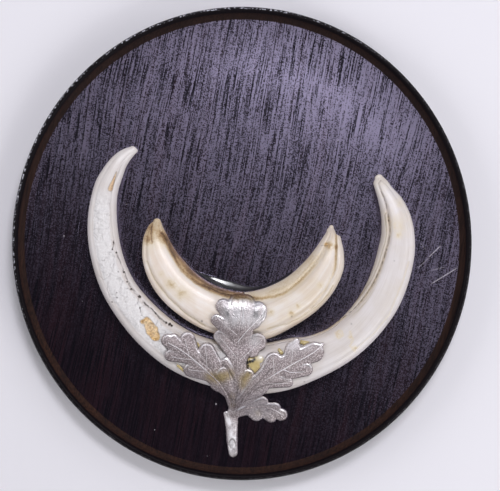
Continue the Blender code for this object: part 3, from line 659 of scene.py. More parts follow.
def lower_left_marks(x, y, turn, u):
    """Relief in millimetres, and the four channels."""
    noise, line = partial(lumps, x, y), partial(wandering, x, y)
    ragged = u + 0.02 * noise(4.0, 3)
    chalk = between(turn, 17, 27) * between(ragged, 0.20, 0.24) * between(ragged, 0.79, 0.74)
    dirt_and_shade, cut = 0 * x, 0 * x
    for number, (half_width, depth, darkness, path) in enumerate(LEFT_CRACKS):
        away = line(path, 0.5, 1.6, 11 + number)
        broken = between(noise(2.0, 41 + number), -0.6, 0.3)
        cut = np.maximum(cut, notch(away, half_width, depth))
        dirt_and_shade = np.maximum(dirt_and_shade, notch(away, 0.7 * half_width, darkness) * broken)
    for number, (at_x, at_y, radius) in enumerate(LEFT_HOLES):
        away = np.hypot(x - at_x, y - at_y) / radius + 0.35 * noise(0.9, 70 + number)
        cut = np.maximum(cut, 1.1 * between(away, 1, 0.4))
        dirt_and_shade = np.maximum(dirt_and_shade, between(away, 1, 0.5))
    patch = bars_distance(x, y, ORANGE_PATCH) + 0.5 * noise(2.2, 5)
    slit = bar_distance(x, y, OCHRE_SLIT) + 0.12 * noise(1.5, 6)
    ochre = np.maximum(between(patch, 0.25, -0.35), 0.65 * between(slit, 0.2, -0.3))
    pores = between(noise(1.1, 8, 1), 0.15, 0.7) * between(patch, -0.2, -0.9)
    crazed = notch(noise(3.4, 24), 0.07) * between(noise(6.0, 25), -0.1, 0.4)
    pitted = between(noise(0.9, 26, 1), 0.55, 0.85) * between(noise(5.0, 27), 0.0, 0.5)
    cut = cut + 0.55 * between(patch, 0, -0.8) + 0.5 * pores + 0.5 * between(slit, 0, -0.5)
    cut = cut + (0.3 * crazed + 0.35 * pitted) * chalk
    dirt_and_shade = np.max([dirt_and_shade, notch(slit, 0.25, 0.4), notch(patch, 0.35, 0.35), 0.36 * pores,
                   (0.26 * crazed + 0.3 * pitted) * chalk], axis=0)
    stain = notch(u - 0.02, 0.05, 0.1) * between(turn, 60, 90)
    plates = between(noise(5.5, 28), -0.04, 0.05) + between(noise(3.0, 29), 0.12, 0.22)
    rough = 0.2 * noise(3.2, 21) + 0.14 * noise(1.1, 22) + 0.05 * noise(8.0, 23)
    return (rough + 0.42 * (plates - 0.8) - 0.22) * chalk - cut, (stain, chalk, dirt_and_shade, ochre)


# %% Marks of the lower right tusk
RIGHT_TIP_CRACK = (
    (80.9, 36.9), (79.7, 35), (80.6, 31.1), (82.3, 27.3), (84, 21.9), (84.8, 17.6), (85.3, 13))
RIGHT_GROOVE = (
    (85, 16), (85.3, 13), (85.9, 8.5), (85.7, 4.3), (84.8, -0.3), (84, -2.6), (82.6, -7.8),
    (80.6, -13.5), (77.9, -19.8), (75.2, -24.7), (71.6, -30.3), (66.6, -36.3), (60.4, -41.8),
    (55, -45.9))
RIGHT_BRANCH = ((81.3, 36.6), (84.8, 33.5), (87.1, 30.2), (89.8, 25.5))
RIGHT_OUTLINES = (
    ((54.1, -51.4), (57, -49.7), (58.7, -52.6), (55.9, -54.9), (54.1, -51.4)),
    ((62.2, -50.8), (63.9, -55.4), (62.2, -58.9), (65.6, -62.3)))
RIGHT_OUTER_CREASE = (
    (96.3, -10.7), (93.2, -21.4), (89.1, -30.7), (85, -41.3), (76, -52), (65.8, -60.8))
RIGHT_TAIL = ((60, -42.3), (50.8, -49.2), (44.4, -52.1), (34.2, -54.3))
# (x, y, radius, strength)
RIGHT_STAINS = (
    (89.5, 10, 4.6, 0.2), (90.6, 4.6, 1.9, 0.26), (91.4, 22.6, 1.8, 0.24),
    (55.8, -52.3, 1.6, 0.36), (62, -53.6, 1.2, 0.36), (65.2, -60.3, 1.3, 0.36))
RIGHT_SPECKS = ((63.1, -46.3, 0.45, 0.5), (36.2, -79.9, 0.55, 0.5), (87.9, -10, 0.35, 0.5))


def lower_right_marks(x, y, turn, u):
    noise, line = partial(lumps, x, y), partial(wandering, x, y)
    crack, branch = line(RIGHT_TIP_CRACK, 0.25, 2.0, 31), line(RIGHT_BRANCH, 0.2, 2.0, 33)
    groove, crease = line(RIGHT_GROOVE, 0.2, 3.0, 32), line(RIGHT_OUTER_CREASE, 0.2, 3.0, 38)
    tail = line(RIGHT_TAIL, 0.3, 3.0, 39)
    strip = between(u, 0.24, 0.17) * between(turn, 6, 14) * between(turn, 66, 52)
    beside, ridge = groove - 2.1, groove - 1.1
    cut = notch(crack, 0.35, 0.5) + notch(branch, 0.4, 0.25) + notch(groove, 0.8, 0.7)
    cut = cut + notch(crease, 0.5, 0.25) + notch(tail, 0.6, 0.3)
    cut = cut + (notch(beside, 0.35, 0.3) - notch(ridge, 0.4, 0.25)) * strip
    stain = notch(groove, 0.5, 0.14) * between(turn, 60, 48)
    stain = stain + notch(crease, 0.5, 0.16) + notch(tail, 0.6, 0.22)
    stain = stain + sum(notch(line(path, 0.9, 1.6, 40), 0.6, 0.2) for path in RIGHT_OUTLINES)
    stain = stain + 0.1 * between(u, 0.05, 0) * between(turn, 20, 40)
    stain = stain + dabs(x, y, *RIGHT_STAINS) * (0.8 + 0.5 * noise(1.8, 36))
    stain = stain + (notch(groove, 4.5, 0.12) + notch(beside, 0.3, 0.14)) * strip
    stain = stain + 0.08 * between(turn, 34, 12) * between(noise(5.0, 37), -0.6, 0.3)
    dirt_and_shade = notch(crack, 0.24, 0.55) * between(noise(2.4, 35), -0.3, 0.4) + notch(branch, 0.3, 0.15)
    dirt_and_shade = dirt_and_shade + notch(groove, 0.3, 0.55) * between(noise(1.2, 34, 1), -0.4, 0.4)
    dirt_and_shade = np.maximum(dirt_and_shade, dabs(x, y, *RIGHT_SPECKS))
    along = lumps(turn * 0.4, u * 60, 3.0, 43)
    # Painted shade: the inner strip is darkened as the tusk's shaded side.
    dirt_and_shade = dirt_and_shade + strip * (0.08 + 0.08 * along + notch(beside, 0.25, 0.3))
    return -cut, (stain, 0 * x, dirt_and_shade, 0 * x)


# %% Marks of the upper tusks
UL_GROOVE = (
    (-46.6, 6), (-43.5, 1.7), (-41.1, -4.2), (-38.1, -10.1), (-34.8, -15.3), (-31, -19.2),
    (-26, -22.8), (-18.7, -26.1), (-9.7, -29.7), (-2, -31))
UL_LINE = ((-52.2, 11.3), (-52.4, 6.1), (-51.8, 0.3))
UL_LOWER = ((-54.8, -10.7), (-50.1, -21.1), (-42.5, -30.9), (-32.7, -40.1), (-21.2, -47.6))
UL_STAINS = (
    (-54.2, 2.6, 2.4, 0.5), (-46.1, -17.6, 2, 0.28), (-40.8, -23.3, 3.6, 0.42),
    (-34.2, -29, 4, 0.34), (-47.3, 4.6, 2.1, 0.28), (-45.3, 2, 1.9, 0.28), (-53, 8, 2.6, 0.35))
UR_GROOVE = (
    (49.5, -3.2), (42, -12.4), (36.1, -19.1), (29.2, -25.6), (23.9, -28.9), (18.6, -30.7),
    (11.7, -31.7), (3.5, -31.2))
UR_SIDE = (
    (54.6, 5.2), (54.5, 1.5), (54.6, -1.5), (54.3, -7.2), (53.7, -15.3), (48, -26.8), (39.3, -37.2))
UR_LOWER = (
    (52.5, -24.5), (49.8, -29.8), (43.3, -36.3), (34.5, -42.6), (25.7, -46.4), (14.6, -49.1))
UR_STAINS = (
    (28.4, -40.3, 1.8, 0.5), (32.3, -35.8, 1.5, 0.35), (16.6, -39.5, 1.8, 0.35),
    (50.6, -1, 1.8, 0.65), (48.4, -0.6, 1.2, 0.4), (54.4, -2, 1.6, 0.35), (45, -24, 2, 0.3))


def upper_left_marks(x, y, turn, u):
    noise, line = partial(lumps, x, y), partial(wandering, x, y)
    groove, crack = line(UL_GROOVE, 0.3, 3.0, 81), line(UL_LINE, 0.2, 2.0, 82)
    lower = line(UL_LOWER, 0.3, 3.0, 83)
    hollow_side = between(u, 0.22, 0.06) * between(turn, 6, 16)
    streaks = 0.5 + 0.5 * lumps(turn * 0.35, u * 60, 3.0, 84, 3)
    cut = notch(groove, 0.7, 0.35) + notch(crack, 0.6, 0.35) + notch(lower, 0.5, 0.35)
    stain = hollow_side * (0.54 + 0.36 * streaks) + 0.06 * streaks
    stain = stain + notch(groove, 0.7, 0.34) + notch(groove, 2.6, 0.12)
    stain = stain + notch(crack, 0.5, 0.3) + notch(lower, 0.8, 0.22)
    stain = stain + 0.22 * between(turn, 24, 4) * (1 + streaks)
    stain = stain + dabs(x, y, *UL_STAINS) * (0.8 + 0.4 * noise(2.0, 85))
    dirt_and_shade = notch(crack, 0.35, 0.28) + dabs(x, y, (-22.9, -44.7, 0.55, 0.8))
    dirt_and_shade = dirt_and_shade + notch(groove, 0.45, 0.24) * between(noise(3.0, 86), -0.5, 0.5)
    dirt_and_shade = dirt_and_shade + 0.2 * hollow_side * between(streaks, 0.3, 0.8) * between(turn, 16, 30)
    return -cut, (stain, 0 * x, dirt_and_shade + notch(lower, 0.35, 0.25), 0 * x)


def upper_right_marks(x, y, turn, u):
    noise, line = partial(lumps, x, y), partial(wandering, x, y)
    groove, side = line(UR_GROOVE, 0.4, 3.0, 91), line(UR_SIDE, 0.25, 3.0, 92)
    lower = line(UR_LOWER, 0.3, 3.0, 93)
    pores = dabs(x, y, (50.6, -1.2, 2.0)) * between(noise(0.9, 94, 1), -0.1, 0.5)
    hollow_side = between(u, 0.3, 0.1) * between(turn, 12, 24)
    streaks = 0.5 + 0.5 * lumps(turn * 0.35, u * 60, 3.0, 95, 3)
    cut = notch(groove, 0.9, 0.4) + notch(side, 0.6, 0.6) + notch(lower, 0.5, 0.3) + 0.5 * pores
    stain = hollow_side * (0.09 + 0.2 * streaks) + 0.12 * streaks
    stain = stain + notch(groove, 0.7, 0.3) * between(turn, 20, 45) + notch(groove, 2.4, 0.12)
    stain = stain + notch(side, 0.6, 0.3) * between(turn, 30, 14) + notch(side, 0.7, 0.16)
    stain = stain + notch(lower, 0.7, 0.2)
    stain = stain + dabs(x, y, *UR_STAINS) * (0.8 + 0.5 * noise(1.3, 96))
    dirt_and_shade = 0.3 * pores + notch(side, 0.3, 0.25) * between(turn, 24, 12) + notch(lower, 0.35, 0.22)
    dirt_and_shade = dirt_and_shade + notch(path_distance(x, y, ((45.9, -1.2), (49.8, -1.2))), 0.3, 0.35)
    dirt_and_shade = dirt_and_shade + dabs(x, y, (28.8, -42.0, 0.5, 0.6))
    ochre = 0.95 * np.maximum(pores, dabs(x, y, (49.2, -0.6, 1.1)))
    return -cut, (stain, 0 * x, dirt_and_shade, ochre)


# %% [markdown]
# ## The ivory's finish
#
# Polished ivory is pale and a little warm, and fine growth lines run along it. Stain turns it tan
# and then brown, filler is duller and whiter with a coarse skin, and dirt fills the cracks. The
# growth lines read the piece's own course: how far along the tusk and how far across a point lies.

# %% Mix an ivory
def ivory(name, pale, warm, streaks):
    finish = Finish(name, Specular_IOR_Level=0.5, Coat_Weight=0.15, Coat_Roughness=0.25)
    place, course = finish.place(), finish.attribute("course", "Vector")
    stain, chalk, dirt_and_shade, ochre = finish.marks()
    lines = course.turned((60, 1400, 1)).noise(1.0)
    broad = course.turned((22, 330, 1), 0, (5, 2, 0)).noise(1.0, 3.0, 0.55)
    cloud, fine = place.noise(90.0, 3.0, 0.55), place.noise(900.0)
    colour = finish.mix(cloud.span(0.38, 0.66), pale, warm)
    colour = finish.mix(broad.span(0.42, 0.62, 0.0, streaks), colour, warm, "MULTIPLY")
    colour = finish.mix(lines.span(0.42, 0.62, 0.0, 0.16), colour, warm, "MULTIPLY")
    uneven = stain * fine.span(0.3, 0.7, 0.75, 1.25)
    white = finish.mix(fine.span(0.32, 0.68), (0.7, 0.67, 0.665), (0.82, 0.8, 0.8))
    orange = finish.layers((0.42, 0.2, 0.05), (fine.span(0.34, 0.6), (0.86, 0.58, 0.24)),
                           (cloud.span(0.5, 0.66, 0.0, 0.35), (0.86, 0.8, 0.7)))
    colour = finish.layers(colour, (uneven.span(0.0, 0.4), (0.72, 0.61, 0.42)),
                           (uneven.span(0.22, 0.66), (0.43, 0.27, 0.13)),
                           (uneven.span(0.55, 1.1), (0.13, 0.07, 0.036)),
                           (chalk, white), (ochre, orange), (dirt_and_shade, (0.05, 0.032, 0.022)))
    rough = fine.span(0.3, 0.7, 0.34, 0.46) + chalk * 0.22 + ochre * 0.25
    skin = fine * chalk.span(0, 1, 0.1, 1.0) + lines * 0.25
    return finish.done(Base_Color=colour, Roughness=rough, Normal=finish.bump(skin, 0.5, 0.12))


# %% Build the tusks
TIP_RINGS, UNDER_POINTS, OVER_POINTS = 7, 14, 92
TIPWARDS, IVORY_WIDTH = 1.12, 24.0


def build_tusk(name, marks_of, finish, sections, tip_length, root=0.0):
    """The sections lie closer towards the tip. The root runs on by some degrees."""
    tusk = TUSKS[name]
    _, inner, outer, _, _ = tusk["stations"][-1]
    u_over = 0.5 - 0.5 * np.cos(np.linspace(0, math.pi, OVER_POINTS))
    u_under = 0.5 + 0.5 * np.cos(np.linspace(0, math.pi, UNDER_POINTS + 2))[1:-1]
    turns = (tusk["stations"][-1][0] + root) * np.linspace(0, 1, sections) ** TIPWARDS
    turn, u = np.meshgrid(turns, np.concatenate((u_over, u_under)), indexing="ij")
    x, y = tusk_place(tusk, turn, u)
    top, under = tusk_heights(tusk, turn, u)
    relief, marks = marks_of(x, y, turn, u)
    on_top = np.arange(u.shape[1]) < OVER_POINTS
    z = np.where(on_top, top + relief * between(np.minimum(u, 1 - u), 0, 0.02), under)
    length = np.radians(turn) * 0.5 * (inner + outer)
    across = np.where(on_top, u, 2 - u) * IVORY_WIDTH
    grid = np.stack((x, y, z, *marks, length, across, 0 * u), axis=-1)
    # The tip: the first section again and again, shrinking towards its middle.
    angle = math.radians(tusk["tip_angle"])
    ahead = np.array((math.sin(angle), -math.cos(angle), 0.0)) * tusk["sense"] * tip_length
    lean = (math.pi / 2 * np.arange(TIP_RINGS) / TIP_RINGS)[:, None, None]
    middle = grid[0, :, :3].mean(axis=0)
    tip = np.repeat(grid[:1], TIP_RINGS, 0)
    tip[..., :3] = middle + (tip[..., :3] - middle) * np.sin(lean) + ahead * np.cos(lean)
    grid = np.concatenate((tip[1:], grid))
    rings, around = grid.shape[:2]
    faces = tube_faces(rings, around)
    faces += [(rings * around, (k + 1) % around, k) for k in range(around)]
    faces += [tuple(range((rings - 1) * around, rings * around))]
    table = np.concatenate((grid.reshape(rings * around, -1), tip[0, :1]))
    make_piece("ivory_" + name, table[:, :3], faces, finish, crease=60.0, node=name,
               marks=table[:, 3:7], course=table[:, 7:])


build_tusk("tusk_lower_left", lower_left_marks,
           ivory("chalky_ivory", (0.74, 0.7, 0.69), (0.7, 0.65, 0.62), 0.2),
           sections=470, tip_length=1.3)
build_tusk("tusk_lower_right", lower_right_marks,
           ivory("smooth_ivory", (0.74, 0.695, 0.69), (0.7, 0.645, 0.61), 0.15),
           sections=430, tip_length=1.8)
build_tusk("tusk_upper_left", upper_left_marks,
           ivory("stained_ivory_left", (0.94, 0.88, 0.85), (0.86, 0.77, 0.69), 0.55),
           sections=300, tip_length=1.6, root=0.9)
build_tusk("tusk_upper_right", upper_right_marks,
           ivory("stained_ivory_right", (0.84, 0.79, 0.76), (0.79, 0.7, 0.61), 0.6),
           sections=290, tip_length=1.6, root=0.9)

# %% [markdown]
# ## The oak sprig
#
# The sprig was cast flat and then bent over the tusks. Its outline is the union of tapered round
# bars, one or more for each lobe. Every lobe is a low dome, its edge has a raised bead, and ribs
# and veins run along the leaves. The sheet under all that follows the tusks: the highest of them at
# each place, spread out so that the metal never folds more steeply than it could be bent.

# %% The sprig's lobes, ribs and veins
CENTRAL_LEAF = (
    (-2.1, -85.4, 2.9, -1.6, -70.4, 4.3), (-1.6, -70.4, 4.3, -1.5, -49.6, 8),
    (-1.5, -49.6, 8, -1, -42.7, 9.2), (-3.3, -41.5, 6.9, -10.5, -35.9, 4.4),
    (-2.1, -34.7, 5.9, 2.2, -35, 5.9), (0.8, -43.8, 6.9, 9.5, -38.3, 5.2),
    (4.8, -45, 4.9, 9.1, -40.4, 5.3), (-3.3, -51.9, 5.7, -14.4, -43.8, 3.4),
    (-3.3, -62.3, 5.7, -12.5, -53.4, 3.7), (-1, -62.3, 4.6, 9.1, -56.6, 5.2),
    (-3.3, -76.7, 2.6, -9.2, -67.6, 2.5), (0.7, -80.1, 3.2, 3.6, -75.3, 3.6),
    (3.6, -58.4, 5.7, 5.9, -61.2, 4.3), (3.6, -46.6, 3.4, 7.1, -44.9, 4))
LEFT_LEAF = (
    (-7.9, -88.5, 1.8, -16.2, -79, 2.6), (-8.5, -87.3, 2, -18.8, -73.8, 5.2),
    (-18.8, -73.8, 5.2, -31.4, -62.3, 5.7), (-31.4, -62.3, 5.7, -42.3, -55.7, 3.9),
    (-37.7, -56, 2.9, -39, -54.6, 3), (-28, -62.3, 3.4, -31.1, -55.2, 4.6),
    (-16.2, -69.2, 5, -20.1, -61.7, 4.8), (-30.8, -65.2, 3.7, -40.8, -64.3, 3.6),
    (-20.5, -74.1, 4.9, -29.3, -72.7, 4.2), (-13.6, -83.6, 2.3, -15.6, -82.1, 2.4),
    (-5, -90.4, 2.9, -10.2, -75, 4.6))
RIGHT_LEAF = (
    (-2.8, -93.4, 2.9, 9.4, -80.7, 5.5), (9.4, -80.7, 5.5, 15.7, -74.1, 5.4),
    (15.7, -74.1, 5.4, 18.5, -67.5, 5.3), (17.4, -72.7, 5.7, 31.2, -66.4, 5.7),
    (27.7, -66.9, 4.6, 29.7, -60.7, 4.8), (29.5, -60, 4, 31.5, -56.1, 2),
    (33.5, -65.2, 5.2, 41.5, -62.2, 5.9), (41.5, -61.2, 3.4, 46.6, -57.7, 0.9),
    (26.6, -73.8, 4.6, 36.8, -72.2, 4.1), (15.1, -78.4, 5.2, 26.5, -79.9, 3.1),
    (2.5, -91.6, 3.5, 11.7, -83, 3.7))
SMALL_LEAF = (
    (-4, -100, 2.6, 3.6, -96.9, 3.7), (4.2, -95.3, 3.2, 11.7, -92, 3.7),
    (11.8, -95.9, 3.5, 19.1, -96.2, 3.7), (16.5, -98, 3.5, 23.1, -100.5, 3.7),
    (11.8, -98, 3.5, 17.1, -101.7, 3.5), (3.9, -96.6, 3.7, 8.6, -100.3, 4.1))
STEM = (
    (-4.5, -95.3, 3, -6.1, -105.3, 3.6), (-6.1, -105.3, 3.6, -5.8, -115.4, 3.2),
    (-5.8, -115.4, 3.2, -5.2, -122.9, 2.7))
STEM_BUD = ((-7.5, -105.3, 2, -9.2, -100.1, 1.6), (-4.5, -97.8, 2.7, -7, -90.4, 2.3))
LEAVES = CENTRAL_LEAF + LEFT_LEAF + RIGHT_LEAF + SMALL_LEAF
SPRIG_LOBES = LEAVES + STEM + STEM_BUD
# (start radius, end radius, points)
RIBS = (
    (0.26, 0.14, ((-3.6, -77.2), (-2.6, -69.8), (-2.2, -60.8), (-1.4, -48.5), (0, -37.8),
     (0.7, -31.4))),
    (0.42, 0.18, ((-6.7, -93.6), (-12.4, -81.2), (-19.9, -73.4), (-33, -62.4), (-42, -57.1))),
    (0.44, 0.2, ((-5, -97.7), (2.3, -89.5), (10.5, -80.5), (18.7, -75.2), (30.2, -68.6),
     (40, -63.2), (46.6, -58.3))),
    (0.34, 0.16, ((-3.6, -99.6), (4, -96), (10.9, -95.1), (18.4, -97.2), (24.6, -101))))
VEINS = (
    (0.26, 0.12, ((-2.2, -56.6), (2.3, -50.9), (9.7, -42.8), (13.8, -37))),
    (0.22, 0.1, ((3.3, -47.2), (7.2, -42.9))),
    (0.24, 0.12, ((-2.6, -52.6), (-8.4, -47.6), (-14.1, -42.3))),
    (0.24, 0.12, ((-3.4, -64.9), (-7.5, -60), (-12.5, -54.2))),
    (0.24, 0.12, ((-1.8, -67.3), (4, -62.4), (10.5, -56.6))),
    (0.22, 0.12, ((-1.4, -44.4), (-5.9, -39.4), (-10.8, -34.5))),
    (0.24, 0.12, ((-39.9, -64.9), (-34.6, -66.1), (-29.3, -66.5), (-24.5, -70.2))),
    (0.22, 0.12, ((-32.6, -55), (-30.1, -64.1))),
    (0.22, 0.12, ((-20.7, -59.1), (-19.9, -72.3))),
    (0.22, 0.12, ((-30.5, -72.3), (-19.9, -73.9))),
    (0.26, 0.12, ((23.7, -72.3), (28.9, -73.9), (35.9, -73.5))),
    (0.22, 0.12, ((17.9, -64.9), (18.7, -74.7))),
    (0.22, 0.12, ((29.4, -56.6), (28.5, -69))),
    (0.22, 0.12, ((12, -79.5), (19.5, -80.5), (27, -80.2))),
    (0.22, 0.12, ((-3.8, -84), (-6.6, -76.5), (-9, -68.5))),
    (0.22, 0.12, ((-5.5, -96), (-5.2, -88), (-3.6, -80))),
    (0.22, 0.12, ((-7.8, -93.5), (-8.6, -86), (-12, -79))))
CREASES = (
    ((-4.4, -97.9), (-3.3, -88.7), (-2.1, -81.9)),
    ((-2.7, -96.8), (1.9, -87.6), (9.4, -79.6), (17.4, -71.5)),
    ((-6.1, -91), (-11.3, -81.3), (-17.1, -72.7), (-23.9, -66.9)),
    ((-9.6, -70.4), (-6.1, -75), (-3.3, -79.6)),
    ((-17.1, -73.8), (-12.5, -80.7), (-7.9, -87.6)),
    ((0.7, -88.7), (11.7, -81.9), (27.7, -78.4)),
    ((-1, -92.2), (5.9, -89.9), (11.6, -88.1)))
LOBE_BLEND = 0.7
LEAF_CLEARANCE, HOLLOW_SPAN, HOLLOW_SAG, STEEPEST_FOLD = 0.45, 15.0, 2.5, 1.05
FOLD_REACH, FOLD_SPREAD, FOLD_SOFTNESS, FOLD_STEP = 2.0, 20.0, 1.6, 0.5
FOLD_LOW, FOLD_HIGH = (-62.0, -136.0), (62.0, -15.0)
CUT_START_Y, CUT_END_Y, CUT_END_HEIGHT, CUT_SLOPE = -111.5, -125.6, 1.3, 0.17
# (x, y, half-width, half-height) of the ring that the cut stem shows
CUT_RING = (-5.7, -117.6, 1.8, 3.0)


# %% The sprig's outline and its bent sheet
def sprig_distance(x, y):
    """Distance to the sprig's outline: all lobes joined, with rounded corners between them."""
    total = bar_distance(x, y, SPRIG_LOBES[0])
    for lobe in SPRIG_LOBES[1:]:
        other = bar_distance(x, y, lobe)
        share = np.clip(0.5 + 0.5 * (other - total) / LOBE_BLEND, 0, 1)
        total = other * (1 - share) + total * share - LOBE_BLEND * share * (1 - share)
    return total


def neighbours(grid):
    """The eight shifted copies of a grid, each with its distance in steps."""
    wide = np.pad(grid, 1, mode="edge")
    rows, columns = grid.shape
    for i in (0, 1, 2):
        for j in (0, 1, 2):
            if (i, j) != (1, 1):
                yield math.hypot(i - 1, j - 1), wide[i:i + rows, j:j + columns]


def reading(grid, xs, ys):
    """A function that reads a grid of heights at any x and y."""
    step = xs[1] - xs[0]

    def at(x, y):
        i = np.clip((np.asarray(y) - ys[0]) / step, 0, len(ys) - 1.001)
        j = np.clip((np.asarray(x) - xs[0]) / step, 0, len(xs) - 1.001)
        i0, j0 = i.astype(int), j.astype(int)
        fi, fj = i - i0, j - j0
        low = grid[i0, j0] * (1 - fj) + grid[i0, j0 + 1] * fj
        high = grid[i0 + 1, j0] * (1 - fj) + grid[i0 + 1, j0 + 1] * fj
        return low * (1 - fi) + high * fi

    return at


def trophy_tops():
    """Top of the tusks and the field, as a grid."""
    xs, ys = (np.arange(low, high + FOLD_STEP / 2, FOLD_STEP)
              for low, high in zip(FOLD_LOW, FOLD_HIGH))
    gx, gy = np.meshgrid(xs, ys)
    height = np.full(gx.shape, FIELD)
    for tusk in TUSKS.values():
        dx, dy = gx - tusk["centre"][0], gy - tusk["centre"][1]
        turn = turn_at(tusk, np.degrees(np.arctan2(dy, dx)))
        last = tusk["stations"][-1][0]
        along = np.clip(turn, 0, last)
        inner, outer = measured(tusk, 1, along), measured(tusk, 2, along)
        u = (np.hypot(dx, dy) - inner) / (outer - inner)
        on_it = (u > 0) & (u < 1) & (turn > 0) & (turn < last + 2)
        height = np.where(on_it, np.maximum(height, tusk_heights(tusk, along, u)[0]), height)
    return height, xs, ys


def widened(height, highest, reach):
    """The grid with every point as high as the highest (or lowest) within the reach."""
    for _ in range(round(reach / FOLD_STEP)):
        for _, moved in neighbours(height):
            height = highest(height, moved)
    return height


def bent_sheet():
    height, xs, ys = trophy_tops()
    bridged = widened(widened(height, np.maximum, HOLLOW_SPAN), np.minimum, HOLLOW_SPAN)
    height = widened(np.maximum(height, bridged - HOLLOW_SAG), np.maximum, FOLD_REACH)
    for _ in range(round(FOLD_SPREAD / FOLD_STEP)):
        for away, moved in neighbours(height):
            height = np.maximum(height, moved - STEEPEST_FOLD * FOLD_STEP * away)
    for _ in range(round(1.5 * (FOLD_SOFTNESS / FOLD_STEP) ** 2)):
        height = (height + sum(moved for _, moved in neighbours(height))) / 9
    return reading(height, xs, ys)


sheet_under = bent_sheet()
print("sheet over the upper tusks:", round(float(sheet_under(0.0, -42.0)), 2), "mm")

# %% The sprig's relief
METAL, EDGE_WALL, EDGE_ROUND, LINE_SPACING = 0.5, 0.3, 1.1, 3.0


def cushion(depth):
    """A low dome: 0 at the edge, where the depth is 0, and 1 in the middle."""
    return (1 - (1 - np.clip(depth, 0, 1)) ** 2) ** 0.75


def line_distance(x, y, path):
    """Distance to the smooth curve through a path."""
    return path_distance(x, y, curved(path, LINE_SPACING))


def lobe_domes(x, y):
    """Every lobe is a cushion of its own, and the valleys between them stay visible."""
    height = np.zeros(np.shape(x))
    for bar in LEAVES:
        radius = 0.5 * (bar[2] + bar[5])
        dome = min(0.3 * radius ** 0.8, 1.25) * cushion(-bar_distance(x, y, bar) / radius)
        height = np.maximum(height, dome)
    folded = between(np.abs(x - 0.4), 8.0, 4.5) * between(y, -45.0, -38.0)
    return height * (1 - folded) + folded * 0.9 * cushion(-sprig_distance(x, y) / 3.0)


def ring_distance(x, y):
    """0 on the ring, in shares of its size."""
    return np.hypot((x - CUT_RING[0]) / CUT_RING[2], (y - CUT_RING[1]) / CUT_RING[3]) - 1.0


def relief(x, y):
    """Height of the cast surface above the bent sheet."""
    inside = -sprig_distance(x, y)
    rounding = np.sqrt(1 - (1 - np.clip(inside / EDGE_ROUND, 0, 1)) ** 2)
    rise = EDGE_WALL + METAL * rounding + lobe_domes(x, y)
    rise = rise + notch(inside - 0.7, 0.35, 0.06) - notch(inside - 1.85, 0.35, 0.14)
    for path in CREASES:
        rise = rise - notch(line_distance(x, y, path), 0.45, 0.3)
    for start, _, path in RIBS + VEINS:
        away = line_distance(x, y, path)
        rise = rise - notch(away - 1.6 * start, 0.35, 0.45 * start) + notch(away, 0.4, 0.35 * start)
    for bar in STEM + STEM_BUD[:1]:
        width = max(bar[2], bar[5])
        depth = np.clip(-bar_distance(x, y, bar) / width, 0, 1)
        round_bar = 0.8 * width * np.sqrt(1 - (1 - depth) ** 3) * between(y, -96.0, -119.0)
        rise = np.maximum(rise, round_bar + EDGE_WALL)
    return rise


def sprig_under(x, y):
    return sheet_under(x, y) + LEAF_CLEARANCE


def sprig_top(x, y):
    cut = FIELD + CUT_END_HEIGHT + CUT_SLOPE * (y - CUT_END_Y)
    cut = cut + 3.0 * np.maximum(y - CUT_START_Y, 0) - notch(ring_distance(x, y), 0.22, 0.3)
    under = sprig_under(x, y)
    return np.maximum(np.minimum(under + relief(x, y), cut), under + EDGE_WALL)


# %% A closed solid from an outline and two surfaces
SLIDE = 0.55


def rim_of(faces):
    """The directed sides that have no neighbour, in a steady order."""
    sides = {(a, b) for face in faces for a, b in zip(face, face[1:] + face[:1])}
    return sorted((a, b) for a, b in sides if (b, a) not in sides)


def unpinched(faces):
    """The faces without those that meet the rest at a single point only."""
    while True:
        starts = [a for a, _ in rim_of(faces)]
        pinched = {a for a, b in zip(starts[:-1], starts[1:]) if a == b}
        if not pinched:
            return faces
        faces = [face for face in faces if not pinched & set(face)]


def height_solid(distance, low, high, step, top, under):
    """Points and faces of the solid between two surfaces, inside the outline. Grid points near the
    outline, within the SLIDE share of a step, are moved onto it, so the edge is smooth."""
    gx, gy = np.meshgrid(*(np.arange(a, b, step) for a, b in zip(low, high)))
    d = distance(gx, gy)
    slope_y, slope_x = np.gradient(d, step)
    steep = np.maximum(slope_x ** 2 + slope_y ** 2, 0.3)
    used, deep = d < SLIDE * step, d <= -SLIDE * step
    x, y = (np.where(used & ~deep, g - d * slope / steep, g).ravel()
            for g, slope in ((gx, slope_x), (gy, slope_y)))
    rows, columns = d.shape
    number = np.arange(d.size).reshape(d.shape)
    corner = np.stack([number[i:rows - 1 + i, j:columns - 1 + j]
                       for i, j in ((0, 0), (0, 1), (1, 1), (1, 0))], -1)
    is_used = used.ravel()[corner]
    is_deep = deep.ravel()[corner].any(-1)
    quads, thirds = ((is_used.sum(-1) == count) & is_deep for count in (4, 3))
    faces = corner[quads].tolist() + corner[thirds][is_used[thirds]].reshape(-1, 3).tolist()
    faces = unpinched([tuple(face) for face in faces])
    kept = np.unique([k for face in faces for k in face])
    new = np.full(d.size, -1)
    new[kept] = np.arange(len(kept))
    x, y = x[kept], y[kept]
    faces = [tuple(int(new[k]) for k in face) for face in faces]
    total = len(kept)
    below = [tuple(total + k for k in reversed(face)) for face in faces]
    wall = [(b, a, total + a, total + b) for a, b in rim_of(faces)]
    print(f"outline of {len(wall)} sides")
    points = [np.stack((x, y, surface(x, y)), -1) for surface in (top, under)]
    return np.concatenate(points), faces + below + wall


